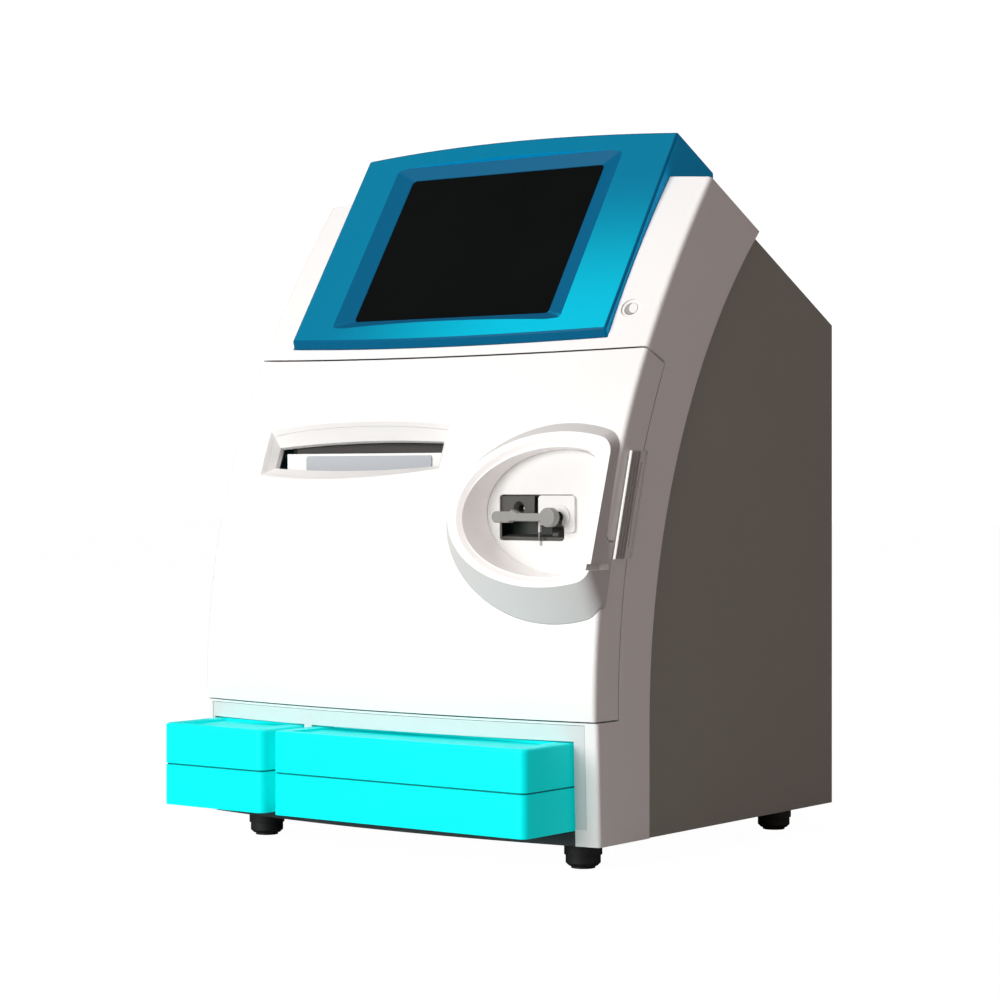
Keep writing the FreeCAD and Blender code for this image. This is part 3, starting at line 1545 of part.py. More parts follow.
window_x0 = floor_x - window_left
window_x1 = floor_x - window_right
window_z0 = floor_mid_z - window_below
window_z1 = floor_mid_z + window_above
port_x = floor_x - port_offset
port_z = floor_mid_z + port_rise
port_block_x0 = port_x - port_block_left
port_block_x1 = port_x + port_block_right
port_block_z0 = port_z - port_block_below
port_block_z1 = port_z + port_block_above
lever_x = floor_x - lever_offset
lever_z = floor_mid_z - lever_fall
plate_x0 = lever_x - plate_left
plate_x1 = lever_x + plate_right
plate_z0 = lever_z - plate_below
plate_z1 = lever_z + plate_above
lug_y = sampler_floor_y + panel_thickness + fit_gap


def sampler_panel():
    """Plate that ends the tunnel, with its window and four stays."""
    y0 = sampler_floor_y
    y1 = y0 + panel_thickness
    margin = tunnel_wall + fit_gap
    outline = d_wire(floor_half_width + margin, floor_half_height + margin, floor_right_x + margin / 2 - floor_x,
                     y0, floor_x, floor_mid_z)
    plate = Part.Face(outline).extrude(vec(0, panel_thickness, 0))
    plate = plate.common(upper_form(wall + seam_gap, wall, base_top_z, back_y, half_width - wall - seam_gap))
    window = rounded_block(window_x1 - window_x0, window_z1 - window_z0, window_corner, y0 - wall, y1 + wall,
                           (window_x0 + window_x1) / 2, (window_z0 + window_z1) / 2)
    slit = box(window_x1 - window_corner, plate_x1 - slit_margin, y0 - wall, y1 + wall, window_z1 - slit_height, window_z1)
    stays = []
    half = stay_size / 2
    for x in (floor_x - floor_half_width / 2, floor_right_x - stay_size):
        for side in (-1, 1):
            z = floor_mid_z + side * floor_half_height * stay_rise_share
            stays.append(box(x - half, x + half, y1 - fit_gap, bulkhead_y, z - half, z + half))
    return join(cut(plate, window, slit), *stays)


def port_block():
    """Dark carrier behind the panel: the sample port and the lever's bearing lug."""
    y0 = sampler_floor_y + panel_thickness / 2
    y1 = y0 + port_block_depth
    block = box(port_block_x0, port_block_x1, y0, y1, port_block_z0, port_block_z1)
    shelf_y = sampler_floor_y + panel_thickness + fit_gap
    shelf_z = port_block_z1 + wall * 3
    post_x = lever_x + lug_radius
    shelf = box(port_block_x0, post_x + lug_post, shelf_y, shelf_y + lug_length, port_block_z1, shelf_z)
    back = box(port_block_x0, port_block_x1, shelf_y, y1, port_block_z1, shelf_z)
    post = box(post_x - lug_post, post_x + lug_post, lug_y, lug_y + lug_length, lever_z - lug_radius, shelf_z)
    lug = cylinder(lug_radius, vec(lever_x, lug_y, lever_z), vec(lever_x, lug_y + lug_length, lever_z))
    arm = box(port_block_x0 + wall, port_block_x1 - wall, y1 - wall, bulkhead_y, port_block_z1, shelf_z)
    bore = cylinder(port_radius, vec(port_x, y0 - wall, port_z), vec(port_x, y1 + wall, port_z))
    cone = Part.makeCone(port_lead_radius, port_radius, wall, vec(port_x, y0, port_z), vec(0, 1, 0))
    bearing = cylinder(shaft_radius + pin_clearance, vec(lever_x, lug_y - overrun, lever_z),
                       vec(lever_x, lug_y + overrun, lever_z))
    return cut(join(block, shelf, back, post, lug, arm), bore, cone, bearing)


def sampler_plate():
    """Trim plate over the window's right end, with a round swell and a notch for the shaft."""
    y1 = sampler_floor_y
    y0 = y1 - plate_thickness
    plate = rounded_block(plate_x1 - plate_x0, plate_z1 - plate_z0, window_corner, y0, y1,
                          (plate_x0 + plate_x1) / 2, (plate_z0 + plate_z1) / 2)
    disc = cylinder(disc_radius, vec(lever_x, y0 - disc_thickness, lever_z), vec(lever_x, y0, lever_z))
    low = box(plate_x0 - overrun, lever_x + plate_notch_right + plate_leg, y0 - overrun, y1 + overrun,
              plate_z0 - overrun, lever_z - plate_notch_below)
    high = box(lever_x - plate_notch_left, lever_x + plate_notch_right, y0 - overrun, y1 + overrun,
               lever_z - plate_below, lever_z + plate_notch_above)
    room = cylinder(shaft_radius + plate_leg, vec(lever_x, y0 - overrun, lever_z), vec(lever_x, y1 + overrun, lever_z))
    leg = box(plate_x0, plate_x0 + plate_leg, y0, y1, window_z0 - wall, lever_z - plate_notch_below + wall)
    return join(cut(join(plate, disc), low, high, room), leg)


lever_back_y = sampler_floor_y - plate_thickness - disc_thickness - fit_gap
lever_front_y = lever_back_y - boss_reach


def sampling_lever():
    """Flipper: flat round boss, slim arm and a thicker finger pad with a horn."""
    y0, y1 = lever_front_y, lever_front_y + arm_depth
    boss = cylinder(boss_radius, vec(lever_x, y0, lever_z), vec(lever_x, y1, lever_z))
    tip_x = lever_x - lever_reach
    half = arm_height / 2
    arm = xz_prism([(lever_x, lever_z - half), (tip_x + pad_length / 2, lever_z - half),
                    (tip_x + pad_length / 2, lever_z + half), (lever_x, lever_z + half)], y0, y1)
    pad = rounded_block(pad_length, pad_height, pad_corner, y0, y1, tip_x + pad_length / 2, lever_z)
    horn_x = tip_x + pad_length
    horn = xz_prism([(horn_x - horn_height, lever_z), (horn_x + horn_height * 2, lever_z),
                     (horn_x + horn_height * 2, lever_z + half), (horn_x, lever_z + pad_height / 2 + horn_height / 2),
                     (horn_x - horn_height, lever_z + half)], y0, y1)
    lever = join(boss, arm, pad, horn)
    front = edges_where(lever, lambda p: p.y < y0 + rest_gap)
    lever = lever.makeFillet(boss_edge, front)
    socket = cylinder(shaft_radius, vec(lever_x, y0 + arm_depth / 2, lever_z), vec(lever_x, y1 + overrun, lever_z))
    return lever.cut(socket)


def lever_shaft():
    """Dark shaft that carries the lever in the lug's bearing, with its end collar."""
    start = lever_front_y + arm_depth / 2
    collar_y = lug_y + lug_length + fit_gap
    end = collar_y + wall
    shaft = cylinder(shaft_radius, vec(lever_x, start, lever_z), vec(lever_x, end, lever_z))
    collar = cylinder(shaft_radius * 2, vec(lever_x, collar_y, lever_z), vec(lever_x, end, lever_z))
    return join(shaft, collar)


probe_radius = 0.9
probe_carriage = 12.0


def sample_probe():
    """Steel needle that waits inside the port block, on its carriage."""
    y0 = sampler_floor_y + panel_thickness / 2 + wall * 2
    y1 = sampler_floor_y + panel_thickness / 2 + port_block_depth
    needle = cylinder(probe_radius, vec(port_x, y0, port_z), vec(port_x, y1 + wall, port_z))
    half = probe_carriage / 2
    block = box(port_x - half, port_x + half, y1, bulkhead_y, port_z - half, port_z + half)
    return join(needle, block)


# Printer module behind the slot

printer_left = 14.0
printer_right = 17.0
printer_side = 2.5
printer_below = 36.0
printer_above = 4.5
tear_left = 9.5
tear_right = 12.0
tear_low_drop = 3.0
tear_high_drop = 16.9
pad_left = 18.5
pad_right = 15.0
pad_below = 6.7
pad_above = 1.6
pad_edge = 2.0
pad_stand = 0.8
roll_radius = 20.0
roll_core_radius = 6.0
spindle_radius = 3.0
roll_fall = 12.0
platen_radius = 5.2
platen_drop = 4.0
head_height = 14.0
head_depth = 5.0
head_fins = 3

printer_x0 = slot_x0 + printer_left
printer_x1 = slot_x1 - printer_right
printer_low_z = slot_low_z - printer_below
printer_high_z = slot_high_z + printer_above
tear_x0 = slot_x0 + tear_left
tear_x1 = slot_x1 - tear_right
tear_low_z = slot_low_z - tear_low_drop
tear_high_z = slot_high_z - tear_high_drop
roll_z = slot_low_z - roll_fall
platen_z = slot_high_z - platen_drop
printer_back_y = bulkhead_y
roll_y = printer_back_y - roll_radius - wall
platen_y = printer_front_y + platen_radius + wall


def printer_frame():
    """U-shaped sheet frame: back, floor and two cheeks with the bearings."""
    y0, y1 = printer_front_y, printer_back_y
    t = printer_side
    back = box(printer_x0, printer_x1, y1 - t, y1, printer_low_z, printer_high_z)
    floor = box(printer_x0, printer_x1, y0, y1, printer_low_z, printer_low_z + t)
    cheeks = []
    for x0 in (printer_x0, printer_x1 - t):
        cheek = yz_prism([(y0, printer_low_z), (y1, printer_low_z), (y1, printer_high_z),
                          (y0 + platen_radius, printer_high_z), (y0, platen_z)], x0, x0 + t)
        cheeks.append(cheek)
    frame = join(back, floor, *cheeks)
    bearings = []
    for y, z, r in ((platen_y, platen_z, spindle_radius), (roll_y, roll_z, spindle_radius)):
        bearings.append(cylinder(r + pin_clearance, vec(printer_x0 - wall, y, z), vec(printer_x1 + wall, y, z)))
    return cut(frame, *bearings)


def printer_platen():
    x0, x1 = printer_x0 + printer_side + fit_gap, printer_x1 - printer_side - fit_gap
    rubber = cylinder(platen_radius, vec(x0, platen_y, platen_z), vec(x1, platen_y, platen_z))
    axle = cylinder(spindle_radius, vec(printer_x0, platen_y, platen_z), vec(printer_x1, platen_y, platen_z))
    return join(rubber, axle)


def paper_roll():
    x0, x1 = printer_x0 + printer_side + wall, printer_x1 - printer_side - wall
    roll = cylinder(roll_radius, vec(x0, roll_y, roll_z), vec(x1, roll_y, roll_z))
    bore = cylinder(roll_core_radius, vec(x0 - wall, roll_y, roll_z), vec(x1 + wall, roll_y, roll_z))
    return roll.cut(bore)


def paper_spindle():
    x0, x1 = printer_x0 + printer_side + fit_gap, printer_x1 - printer_side - fit_gap
    core = cylinder(roll_core_radius, vec(x0, roll_y, roll_z), vec(x1, roll_y, roll_z))
    axle = cylinder(spindle_radius, vec(printer_x0, roll_y, roll_z), vec(printer_x1, roll_y, roll_z))
    return join(core, axle)


def tear_plate():
    """Pale plate behind the letterbox that carries the paper rest."""
    plate = box(tear_x0, tear_x1, tear_front_y, tear_front_y + tear_thickness, tear_low_z, tear_high_z)
    feet = []
    for x in (printer_x0, printer_x1 - printer_side):
        feet.append(box(x, x + printer_side, tear_front_y + tear_thickness / 2, printer_front_y, tear_low_z, tear_high_z))
    return join(plate, *feet)


def paper_rest():
    """Thin slate-coloured pad on the plate that the strip slides over."""
    x0, x1 = tear_x0 + pad_left, tear_x1 - pad_right
    low_z, high_z = tear_low_z + pad_below - pad_stand, tear_high_z - pad_above
    return rounded_block(x1 - x0, high_z - low_z, pad_edge, tear_front_y - pad_stand, tear_front_y,
                         (x0 + x1) / 2, (low_z + high_z) / 2)


def print_head():
    """Dark head bar under the platen with its cooling fins behind."""
    y0 = tear_front_y + tear_thickness + fit_gap
    z1 = platen_z - platen_radius - fit_gap
    x0, x1 = printer_x0 + printer_side, printer_x1 - printer_side
    bar = box(x0, x1, y0, y0 + head_depth, z1 - head_height, z1)
    fins = []
    pitch = head_height / (head_fins + 1)
    for i in range(head_fins):
        z = z1 - (i + 1) * pitch
        fins.append(box(x0 + wall, x1 - wall, y0 + head_depth, y0 + 2 * head_depth, z, z + pitch / 3))
    return join(bar, *fins)


# Electronics behind the bulkhead

supply_side = 20.0
supply_width = 105.0
supply_height = 46.0
supply_depth = 68.0
board_gap = 25.0
board_side = 20.0
board_depth = 78.0
board_rear = 15.0
board_stand = 9.0
board_thickness = 1.6
board_post_radius = 2.5
chip_place_shares = ((0.2, 0.3), (0.55, 0.35), (0.8, 0.6))
chip_sizes = ((20.0, 20.0, 3.0), (32.0, 14.0, 5.0), (16.0, 26.0, 9.0))

supply_x0 = supply_side - half_width
supply_x1 = supply_x0 + supply_width
board_x0 = supply_x1 + board_gap
board_x1 = half_width - board_side
board_y1 = back_y - board_rear
board_y0 = board_y1 - board_depth
board_z = floor_z + base_plate_thickness + board_stand


def power_supply():
    """Ventilated steel box beside the board, behind the pack bay."""
    y1 = back_y - wall * 5
    y0 = y1 - supply_depth
    z0 = floor_z + base_plate_thickness
    cage = box(supply_x0, supply_x1, y0, y1, z0, z0 + supply_height)
    slots = []
    count = 10
    pitch = (supply_x1 - supply_x0) / (count + 2)
    for i in range(count):
        x = supply_x0 + (i + 1.25) * pitch
        slots.append(box(x, x + pitch / 2, y0 + wall * 4, y1 - wall * 4, z0 + supply_height - wall,
                         z0 + supply_height + wall))
    return cut(cage, *slots)


def main_board():
    plate = box(board_x0, board_x1, board_y0, board_y1, board_z, board_z + board_thickness)
    parts = [plate]
    inset = wall * 3
    low = floor_z + base_plate_thickness
    for x in (board_x0 + inset, board_x1 - inset):
        for y in (board_y0 + inset, board_y1 - inset):
            parts.append(cylinder(board_post_radius, vec(x, y, low), vec(x, y, board_z)))
    top = board_z + board_thickness
    for (share_x, share_y), (w, d, h) in zip(chip_place_shares, chip_sizes):
        x = board_x0 + share_x * (board_x1 - board_x0)
        y = board_y0 + share_y * (board_y1 - board_y0)
        parts.append(box(x - w / 2, x + w / 2, y - d / 2, y + d / 2, top, top + h))
    return join(*parts)


# Door catch

catch_z = hinge_lower_z
catch_height = 26.0
catch_width = 9.0
catch_depth = 8.0


def catch_magnet():
    x1 = half_width - wall
    y0 = seam_y(catch_z + catch_height / 2) + seam_gap
    return box(x1 - catch_width, x1, y0, y0 + catch_depth, catch_z - catch_height / 2, catch_z + catch_height / 2)


def catch_plate():
    x1 = half_width - wall
    y1 = seam_y(catch_z - catch_height / 2) - fit_gap
    return box(x1 - catch_width, x1, y1 - catch_depth / 2, y1, catch_z - catch_height / 2, catch_z + catch_height / 2)


def hinge_pins():
    half = hinge_length / 2
    pin = cylinder(pin_radius, vec(0, 0, -half - pin_head_height), vec(0, 0, half + fit_gap))
    head = cylinder(pin_head_radius, vec(0, 0, half + fit_gap), vec(0, 0, half + fit_gap + pin_head_height))
    return group(at_hinges(join(pin, head)))


def build():
    os.makedirs("parts", exist_ok=True)
    save("front_housing", front_housing())
    save("rear_casing", rear_casing())
    save("rear_panel", rear_panel())
    save("base_plate", base_plate())
    save("rubber_feet", group([rubber_foot(x, y) for x, y in foot_places]))
    save("casing_screws", group([foot_screws(), panel_screws()]))
    save("screen_bezel", screen_bezel())
    save("touch_glass", touch_glass())
    save("display_module", display_module())
    save("display_bracket", display_bracket())
    save("standby_button", standby_button())
    save("standby_switch", standby_switch())
    save("door_shell", door_shell())
    save("sampler_surround", sampler_surround())
    save("printer_surround", printer_surround())
    save("door_grip", door_grip())
    save("door_hinge_leaves", group(at_hinges(hinge_leaf(-1, True))))
    save("fixed_hinge_leaves", group(at_hinges(hinge_leaf(1, False))))
    save("hinge_pins", hinge_pins())
    save("catch_magnet", catch_magnet())
    save("catch_plate", catch_plate())
    save("pack_bay", pack_bay())
    save("bay_fascia", bay_fascia())
    for name, x0, x1, count in (("reagent", reagent_x0, reagent_x1, reagent_couplings),
                                ("waste", waste_x0, waste_x1, waste_couplings)):
        save(name + "_pack_base", pack_base(x0, x1))
        save(name + "_pack_cover", pack_cover(x0, x1))
        save(name + "_pack_couplings", septa(x0, x1, count))
    save("needle_manifold", needle_manifold())
    save("inner_frame", inner_frame())
    save("pump_housings", pump_housings())
    save("pump_rotor_left", pump_rotor(pump_places[0]))
    save("pump_rotor_right", pump_rotor(pump_places[1]))
    save("pump_motors", pump_motors())
    save("measuring_chamber", measuring_chamber())
    save("chamber_sensors", sensors())
    save("chamber_cover", chamber_cover())
    save("sampler_panel", sampler_panel())
    save("port_block", port_block())
    save("sampler_plate", sampler_plate())
    save("sampling_lever", sampling_lever())
    save("lever_shaft", lever_shaft())
    save("sample_probe", sample_probe())
    save("printer_frame", printer_frame())
    save("printer_platen", printer_platen())
    save("paper_roll", paper_roll())
    save("paper_spindle", paper_spindle())
    save("tear_plate", tear_plate())
    save("paper_rest", paper_rest())
    save("print_head", print_head())
    save("power_supply", power_supply())
    save("main_board", main_board())
    save("fan_frame", fan_frame())
    save("fan_rotor", fan_rotor())
    save("fan_guard", fan_guard())
    save("power_inlet", power_inlet())
    save("switch_frame", switch_frame())
    save("power_rocker", power_rocker())
    save("data_ports", data_ports())


if __name__ == "__main__":
    build()
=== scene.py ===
import json
import math

import bmesh
import bpy
from mathutils import Euler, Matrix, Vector


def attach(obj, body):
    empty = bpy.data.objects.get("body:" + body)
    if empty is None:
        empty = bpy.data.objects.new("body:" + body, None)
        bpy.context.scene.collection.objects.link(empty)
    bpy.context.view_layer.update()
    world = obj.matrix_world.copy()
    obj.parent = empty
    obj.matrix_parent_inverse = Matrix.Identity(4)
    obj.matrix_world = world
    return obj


bl_info = {
    "name": "Blood gas analyzer",
    "version": (1, 0, 0),
    "blender": (4, 5, 0),
    "location": "View3D > Sidebar > Analyzer",
    "description": "Dresses the packed bench-top blood gas analyzer and sets its studio",
    "category": "Object",
}

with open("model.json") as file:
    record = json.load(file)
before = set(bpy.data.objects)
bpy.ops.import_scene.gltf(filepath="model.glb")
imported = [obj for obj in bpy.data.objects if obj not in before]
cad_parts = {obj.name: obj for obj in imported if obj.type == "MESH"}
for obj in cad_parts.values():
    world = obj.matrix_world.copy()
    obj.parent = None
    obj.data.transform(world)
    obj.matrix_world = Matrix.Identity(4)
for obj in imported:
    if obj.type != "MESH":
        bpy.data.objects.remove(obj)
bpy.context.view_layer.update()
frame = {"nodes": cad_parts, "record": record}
NODES = frame["nodes"]
SLOT_OF = {part["node"]: part["material_slot"] for part in frame["record"]["subparts"]}

# Places on the imported part where painted light and shade are masked, in metres
RING_CENTRE = (0.131, -0.1246, 0.2358)
RING_AXIS = (0.04, -0.948, 0.314)
GRIP_RIDGE_X = 0.17122
POD_FRONT = (0.0, -0.83, 0.557)
POD_FADE_Z = (0.36, 0.47)
POD_FADE_X = (-0.12, 0.09)
PACK_SEAM_Z = (0.0559, 0.0569)
PLATE_TONGUE_Z = (0.2143, 0.2199)
# The disc on the standby key that stays white; outside it the key has a painted shadow
BUTTON_LIT_DISC = (0.1510, -0.0536, 0.3690)
BUTTON_LIT_DISC_RADIUS = 0.0046
MASK_EDGE = 0.0001

# How far a surface faces a direction where painted light or shade begins to change and where it has changed,
# as cosines
RING_SKIRT_TURN = (0.12, 0.24)
RING_RIM_TURN = (0.90, 0.96)
RING_TUNNEL_TURN = (0.3, 0.6)
POD_FACE_TURN = (0.970, 0.983)
POD_SIDE_TURN = (0.15, 0.45)

# Colours, shades and gloss that belong to one finish, among them painted light and shade
BLACK = (0.0, 0.0, 0.0)
WHITE = (1.0, 1.0, 1.0)
DUST = (0.62, 0.60, 0.57)
PANEL_WHITE = (0.74, 0.74, 0.725)
TONGUE_SHADED = (0.13, 0.13, 0.12)
CRESCENT_SHADOW_GREY = (0.36, 0.35, 0.335)
RIDGE_HIGHLIGHT_WHITE = (0.93, 0.93, 0.92)
RIDGE_HIGHLIGHT_GLOW = (0.62, 0.62, 0.61)
TUNNEL_PAINTED_LIGHT = (0.15, 0.13, 0.125)
SKIRT_PAINTED_SHADE = 0.72
SEAM_PAINTED_SHADE = 0.22
PACK_PAINTED_LIGHT_SHARE = 0.24
SCREEN_CLEAN = (0.002, 0.0028, 0.0028)
SCREEN_SMEARED = (0.004, 0.005, 0.005)
COVER_CLEAR = (0.85, 0.93, 0.95)
COAT_ROUGHNESS = 0.08
LINE_DEPTH = 0.00001

# The apron and the wedge, as shares of the apron's slope and lip and of the wedge's half width
APRON_DEPTH = 1.3
APRON_RISE = 1.35
APRON_EDGE = 1 / 12
SHEET_EDGE = 1 / 5
WEDGE_TIP = 0.35
WEDGE_FLATNESS = 0.56
WEDGE_RISE = 1.4
WEDGE_EDGE = 1 / 10

# The studio
CAMERA_PLACE = (1.1238, -1.5060, 0.25107)
CAMERA_AZIMUTH = 36.794
CAMERA_SHIFT_Y = -0.0147
CAMERA_NEAR = 0.05
LIGHT_TARGET = (0.0, 0.0, 0.25)
KEY_PLACE, KEY_SIZE = (-0.6, -2.95, 1.1), (2.3, 1.7)
FILL_PLACE, FILL_SIZE = (2.6, 0.4, 1.0), (1.6, 1.6)
FILL_TONE = (1.0, 0.88, 0.84)
TOP_PLACE, TOP_SIZE = (0.0, -0.4, 2.6), (2.0, 2.0)
TOP_SHARE = 0.07
SKY_TONE = (1.0, 0.78, 0.755)
SKY_SEEN = 1.06
FLOOR_REACH = 14.0
FLOOR_SEEN_SHARE = 0.88
FLOOR_SEEN = 1.12


def colour(name, description, value):
    return bpy.props.FloatVectorProperty(name=name, description=description, subtype="COLOR", size=3,
                                         min=0.0, max=1.0, default=value)


def length(name, description, value):
    return bpy.props.FloatProperty(name=name, description=description, default=value, unit="LENGTH",
                                   precision=4)


def amount(name, description, value, low=0.0, high=1.0):
    return bpy.props.FloatProperty(name=name, description=description, default=value, min=low, max=high)


class AnalyzerFinish(bpy.types.PropertyGroup):
    housing: colour("Housing white", "Moulded white of hood and door", (0.86, 0.86, 0.845))
    fascia: colour("Fascia", "Cool white frame round the packs", (0.66, 0.685, 0.68))
    casing: colour("Casing grey", "Warm grey of the rear casing", (0.315, 0.316, 0.278))
    rear_panel: colour("Rear panel grey", "Slightly darker grey of the rear panel", (0.2835, 0.2844, 0.2502))
    # The bezel blues are lit and shaded copies of one blue: painted light at the lower right and on the
    # sides, painted shade towards top and left and on the slopes
    bezel: colour("Bezel blue", "Bright blue at the screen pod's lower right", (0.0, 0.48, 0.66))
    bezel_deep: colour("Deep blue", "Deeper blue towards the pod's top and left", (0.0, 0.18, 0.315))
    bezel_slope: colour("Slope blue", "Dark blue on the slopes round the glass", (0.0, 0.105, 0.22))
    bezel_side: colour("Side blue", "Blue of the pod's sides, top and back", (0.0, 0.42, 0.85))
    packs: colour("Pack cyan", "Bright cyan of the two packs", (0.0, 0.80, 0.79))
    lever: colour("Lever grey", "Grey of the sampling lever", (0.245, 0.246, 0.23))
    grip: colour("Grip grey", "Grey of the ribs in the door grip", (0.50, 0.49, 0.48))
    button: colour("Button white", "White of the standby button", (0.84, 0.84, 0.83))
    edge: amount("Edge softness", "Radius that the moulded edges seem to have, in millimetres", 0.5, 0.0, 3.0)
    grain: amount("Moulded grain", "Depth of the fine grain on the plastics, in millimetres", 0.02, 0.0, 0.2)


class AnalyzerApron(bpy.types.PropertyGroup):
    left: length("Left end", "Left end of the dark apron behind the window, along X", 0.0708)
    right: length("Right end", "Right end of the apron, along X", 0.1272)
    front: length("Front", "Front face of the apron, just behind the panel, along Y", -0.0979)
    foot: length("Foot", "Lower edge of the apron, along Z", 0.2125)
    lip: length("Lip", "Height of the apron's upright front face", 0.0042)
    slope: length("Slope", "Depth over which the apron's top slopes back", 0.0090)
    # The black sheet is painted shade: it stands in for the dark inside of the body behind the window
    backing: length("Backing", "Height of the black sheet behind the apron, from the foot", 0.0147)
    backing_back: length("Backing place", "Rear face of the black sheet, along Y", -0.0840)
    sheet: length("Sheet", "Thickness of the black sheet", 0.0010)
    wedge_centre: length("Wedge centre", "Middle of the wedge under the lever, along X", 0.1163)
    wedge_width: length("Wedge width", "Width of the wedge under the lever", 0.0180)


class AnalyzerStage(bpy.types.PropertyGroup):
    floor: colour("Floor", "Pale floor and sweep", (0.42, 0.42, 0.42))
    key_power: amount("Key light", "Power of the large front light in watts", 102.0, 0.0, 2000.0)
    fill_power: amount("Fill light", "Power of the weak right fill in watts", 2.0, 0.0, 2000.0)
    sky: amount("Surroundings", "Strength of the pale surroundings", 0.225, 0.0, 5.0)
    lens: bpy.props.FloatProperty(name="Lens", description="Focal length in millimetres on a 36 mm sensor",
                                  default=94.08, min=10.0, max=300.0)


# Small builders for shader nodes

def link(tree, source, target):
    tree.links.new(source, target)


def feed(tree, socket, value):
    """Link a socket to another node's output, or set it to a value."""
    if hasattr(value, "is_output"):
        link(tree, value, socket)
    elif socket.type == "RGBA":
        socket.default_value = (*value, 1.0)
    else:
        socket.default_value = value


def math_node(tree, operation, a, b, clamp=False):
    node = tree.nodes.new("ShaderNodeMath")
    node.operation = operation
    node.use_clamp = clamp
    feed(tree, node.inputs[0], a)
    feed(tree, node.inputs[1], b)
    return node.outputs[0]


def vector_node(tree, operation, first, second=None, output="Vector"):
    node = tree.nodes.new("ShaderNodeVectorMath")
    node.operation = operation
    feed(tree, node.inputs[0], first)
    if second is not None:
        feed(tree, node.inputs[1], second)
    return node.outputs[output]


def dot(tree, first, second):
    return vector_node(tree, "DOT_PRODUCT", first, second, "Value")


def noise(tree, place, scale, detail):
    node = tree.nodes.new("ShaderNodeTexNoise")
    node.inputs["Detail"].default_value = detail
    link(tree, place, node.inputs["Vector"])
    link(tree, scale, node.inputs["Scale"])
    return node.outputs["Fac"]


def ramp(tree, source, low, high):
    """Stretch a value from 0 to 1 over low to high."""
    node = tree.nodes.new("ShaderNodeMapRange")
    node.inputs["To Min"].default_value = low
    node.inputs["To Max"].default_value = high
    link(tree, source, node.inputs["Value"])
    return node.outputs["Result"]


def smooth_step(tree, source, low, high):
    """A soft mask that is 0 below low and 1 above high."""
    node = tree.nodes.new("ShaderNodeMapRange")
    node.interpolation_type = "SMOOTHSTEP"
    node.inputs["From Min"].default_value = low
    node.inputs["From Max"].default_value = high
    link(tree, source, node.inputs["Value"])
    return node.outputs["Result"]


def inverse(tree, mask):
    return math_node(tree, "SUBTRACT", 1.0, mask)


def surface(tree):
    """The place and the direction of the surface, both in the piece's own frame."""
    node = tree.nodes.new("ShaderNodeTexCoord")
    return node.outputs["Object"], node.outputs["Normal"]


def axis_of(tree, vector, axis):
    node = tree.nodes.new("ShaderNodeSeparateXYZ")
    link(tree, vector, node.inputs[0])
    return node.outputs[axis]


def level_band(tree, low, high):
    """A mask that is 1 between two heights."""
    height = axis_of(tree, surface(tree)[0], "Z")
    above = smooth_step(tree, height, low - MASK_EDGE, low)
    below = inverse(tree, smooth_step(tree, height, high, high + MASK_EDGE))
    return math_node(tree, "MULTIPLY", above, below)


def mix_colour(tree, mask, first, second):
    """The first colour where the mask is 0, the second where it is 1."""
    node = tree.nodes.new("ShaderNodeMix")
    node.data_type = "RGBA"
    link(tree, mask, node.inputs["Factor"])
    feed(tree, node.inputs[6], first)
    feed(tree, node.inputs[7], second)
    return node.outputs[2]


def shade(value, factor):
    return tuple(min(1.0, channel * factor) for channel in value)


# Shared shader groups

def new_group(name, inputs, outputs):
    group = bpy.data.node_groups.new(name, "ShaderNodeTree")
    for label, default in inputs:
        socket = group.interface.new_socket(name=label, in_out="INPUT", socket_type="NodeSocketFloat")
        socket.default_value = default
    for label in outputs:
        group.interface.new_socket(name=label, in_out="OUTPUT", socket_type="NodeSocketFloat")
    start, end = group.nodes.new("NodeGroupInput"), group.nodes.new("NodeGroupOutput")
    return group, start.outputs, end.inputs


def grain_group():
    """Fine moulded grain as a height in metres, and a slower mottling from 0 to 1."""
    group, given, out = new_group(
        "moulded_grain", (("Scale", 900.0), ("Depth", 0.00002), ("Patch Scale", 9.0)), ("Height", "Patch"))
    place, _ = surface(group)
    fine = noise(group, place, given["Scale"], 2.0)
    link(group, math_node(group, "MULTIPLY", fine, given["Depth"]), out["Height"])
    link(group, noise(group, place, given["Patch Scale"], 3.0), out["Patch"])
    return group


def dust_group():
    """Thin dust that settles on faces that look up, broken by noise."""
    group, given, out = new_group("settled_dust", (("Amount", 0.15), ("Scale", 60.0)), ("Mask",))
    place, normal = surface(group)
    broken = noise(group, place, given["Scale"], 5.0)
    settled = math_node(group, "MULTIPLY", axis_of(group, normal, "Z"), broken, clamp=True)
    link(group, math_node(group, "MULTIPLY", settled, given["Amount"]), out["Mask"])
    return group


def lines_group():
    """Long fine lines along X, as rolling and brushing leave on metal."""
    group, given, out = new_group("rolled_lines", (("Scale", 300.0), ("Stretch", 0.03)), ("Lines",))
    stretch = group.nodes.new("ShaderNodeCombineXYZ")
    link(group, given["Stretch"], stretch.inputs["X"])
    stretch.inputs["Y"].default_value = 1.0
    stretch.inputs["Z"].default_value = 1.0
    drawn = vector_node(group, "MULTIPLY", surface(group)[0], stretch.outputs[0])
    link(group, noise(group, drawn, given["Scale"], 4.0), out["Lines"])
    return group


GROUP_MAKERS = {"moulded_grain": grain_group, "settled_dust": dust_group, "rolled_lines": lines_group}
GROUPS = {}


def place_group(tree, name, **values):
    if name not in GROUPS:
        GROUPS[name] = GROUP_MAKERS[name]()
    node = tree.nodes.new("ShaderNodeGroup")
    node.node_tree = GROUPS[name]
    for label, value in values.items():
        node.inputs[label.replace("_", " ")].default_value = value
    return node.outputs


# Finishes

def new_material(name):
    material = bpy.data.materials.new(name)
    material.use_nodes = True
    tree = material.node_tree
    return material, tree, tree.nodes["Principled BSDF"].inputs


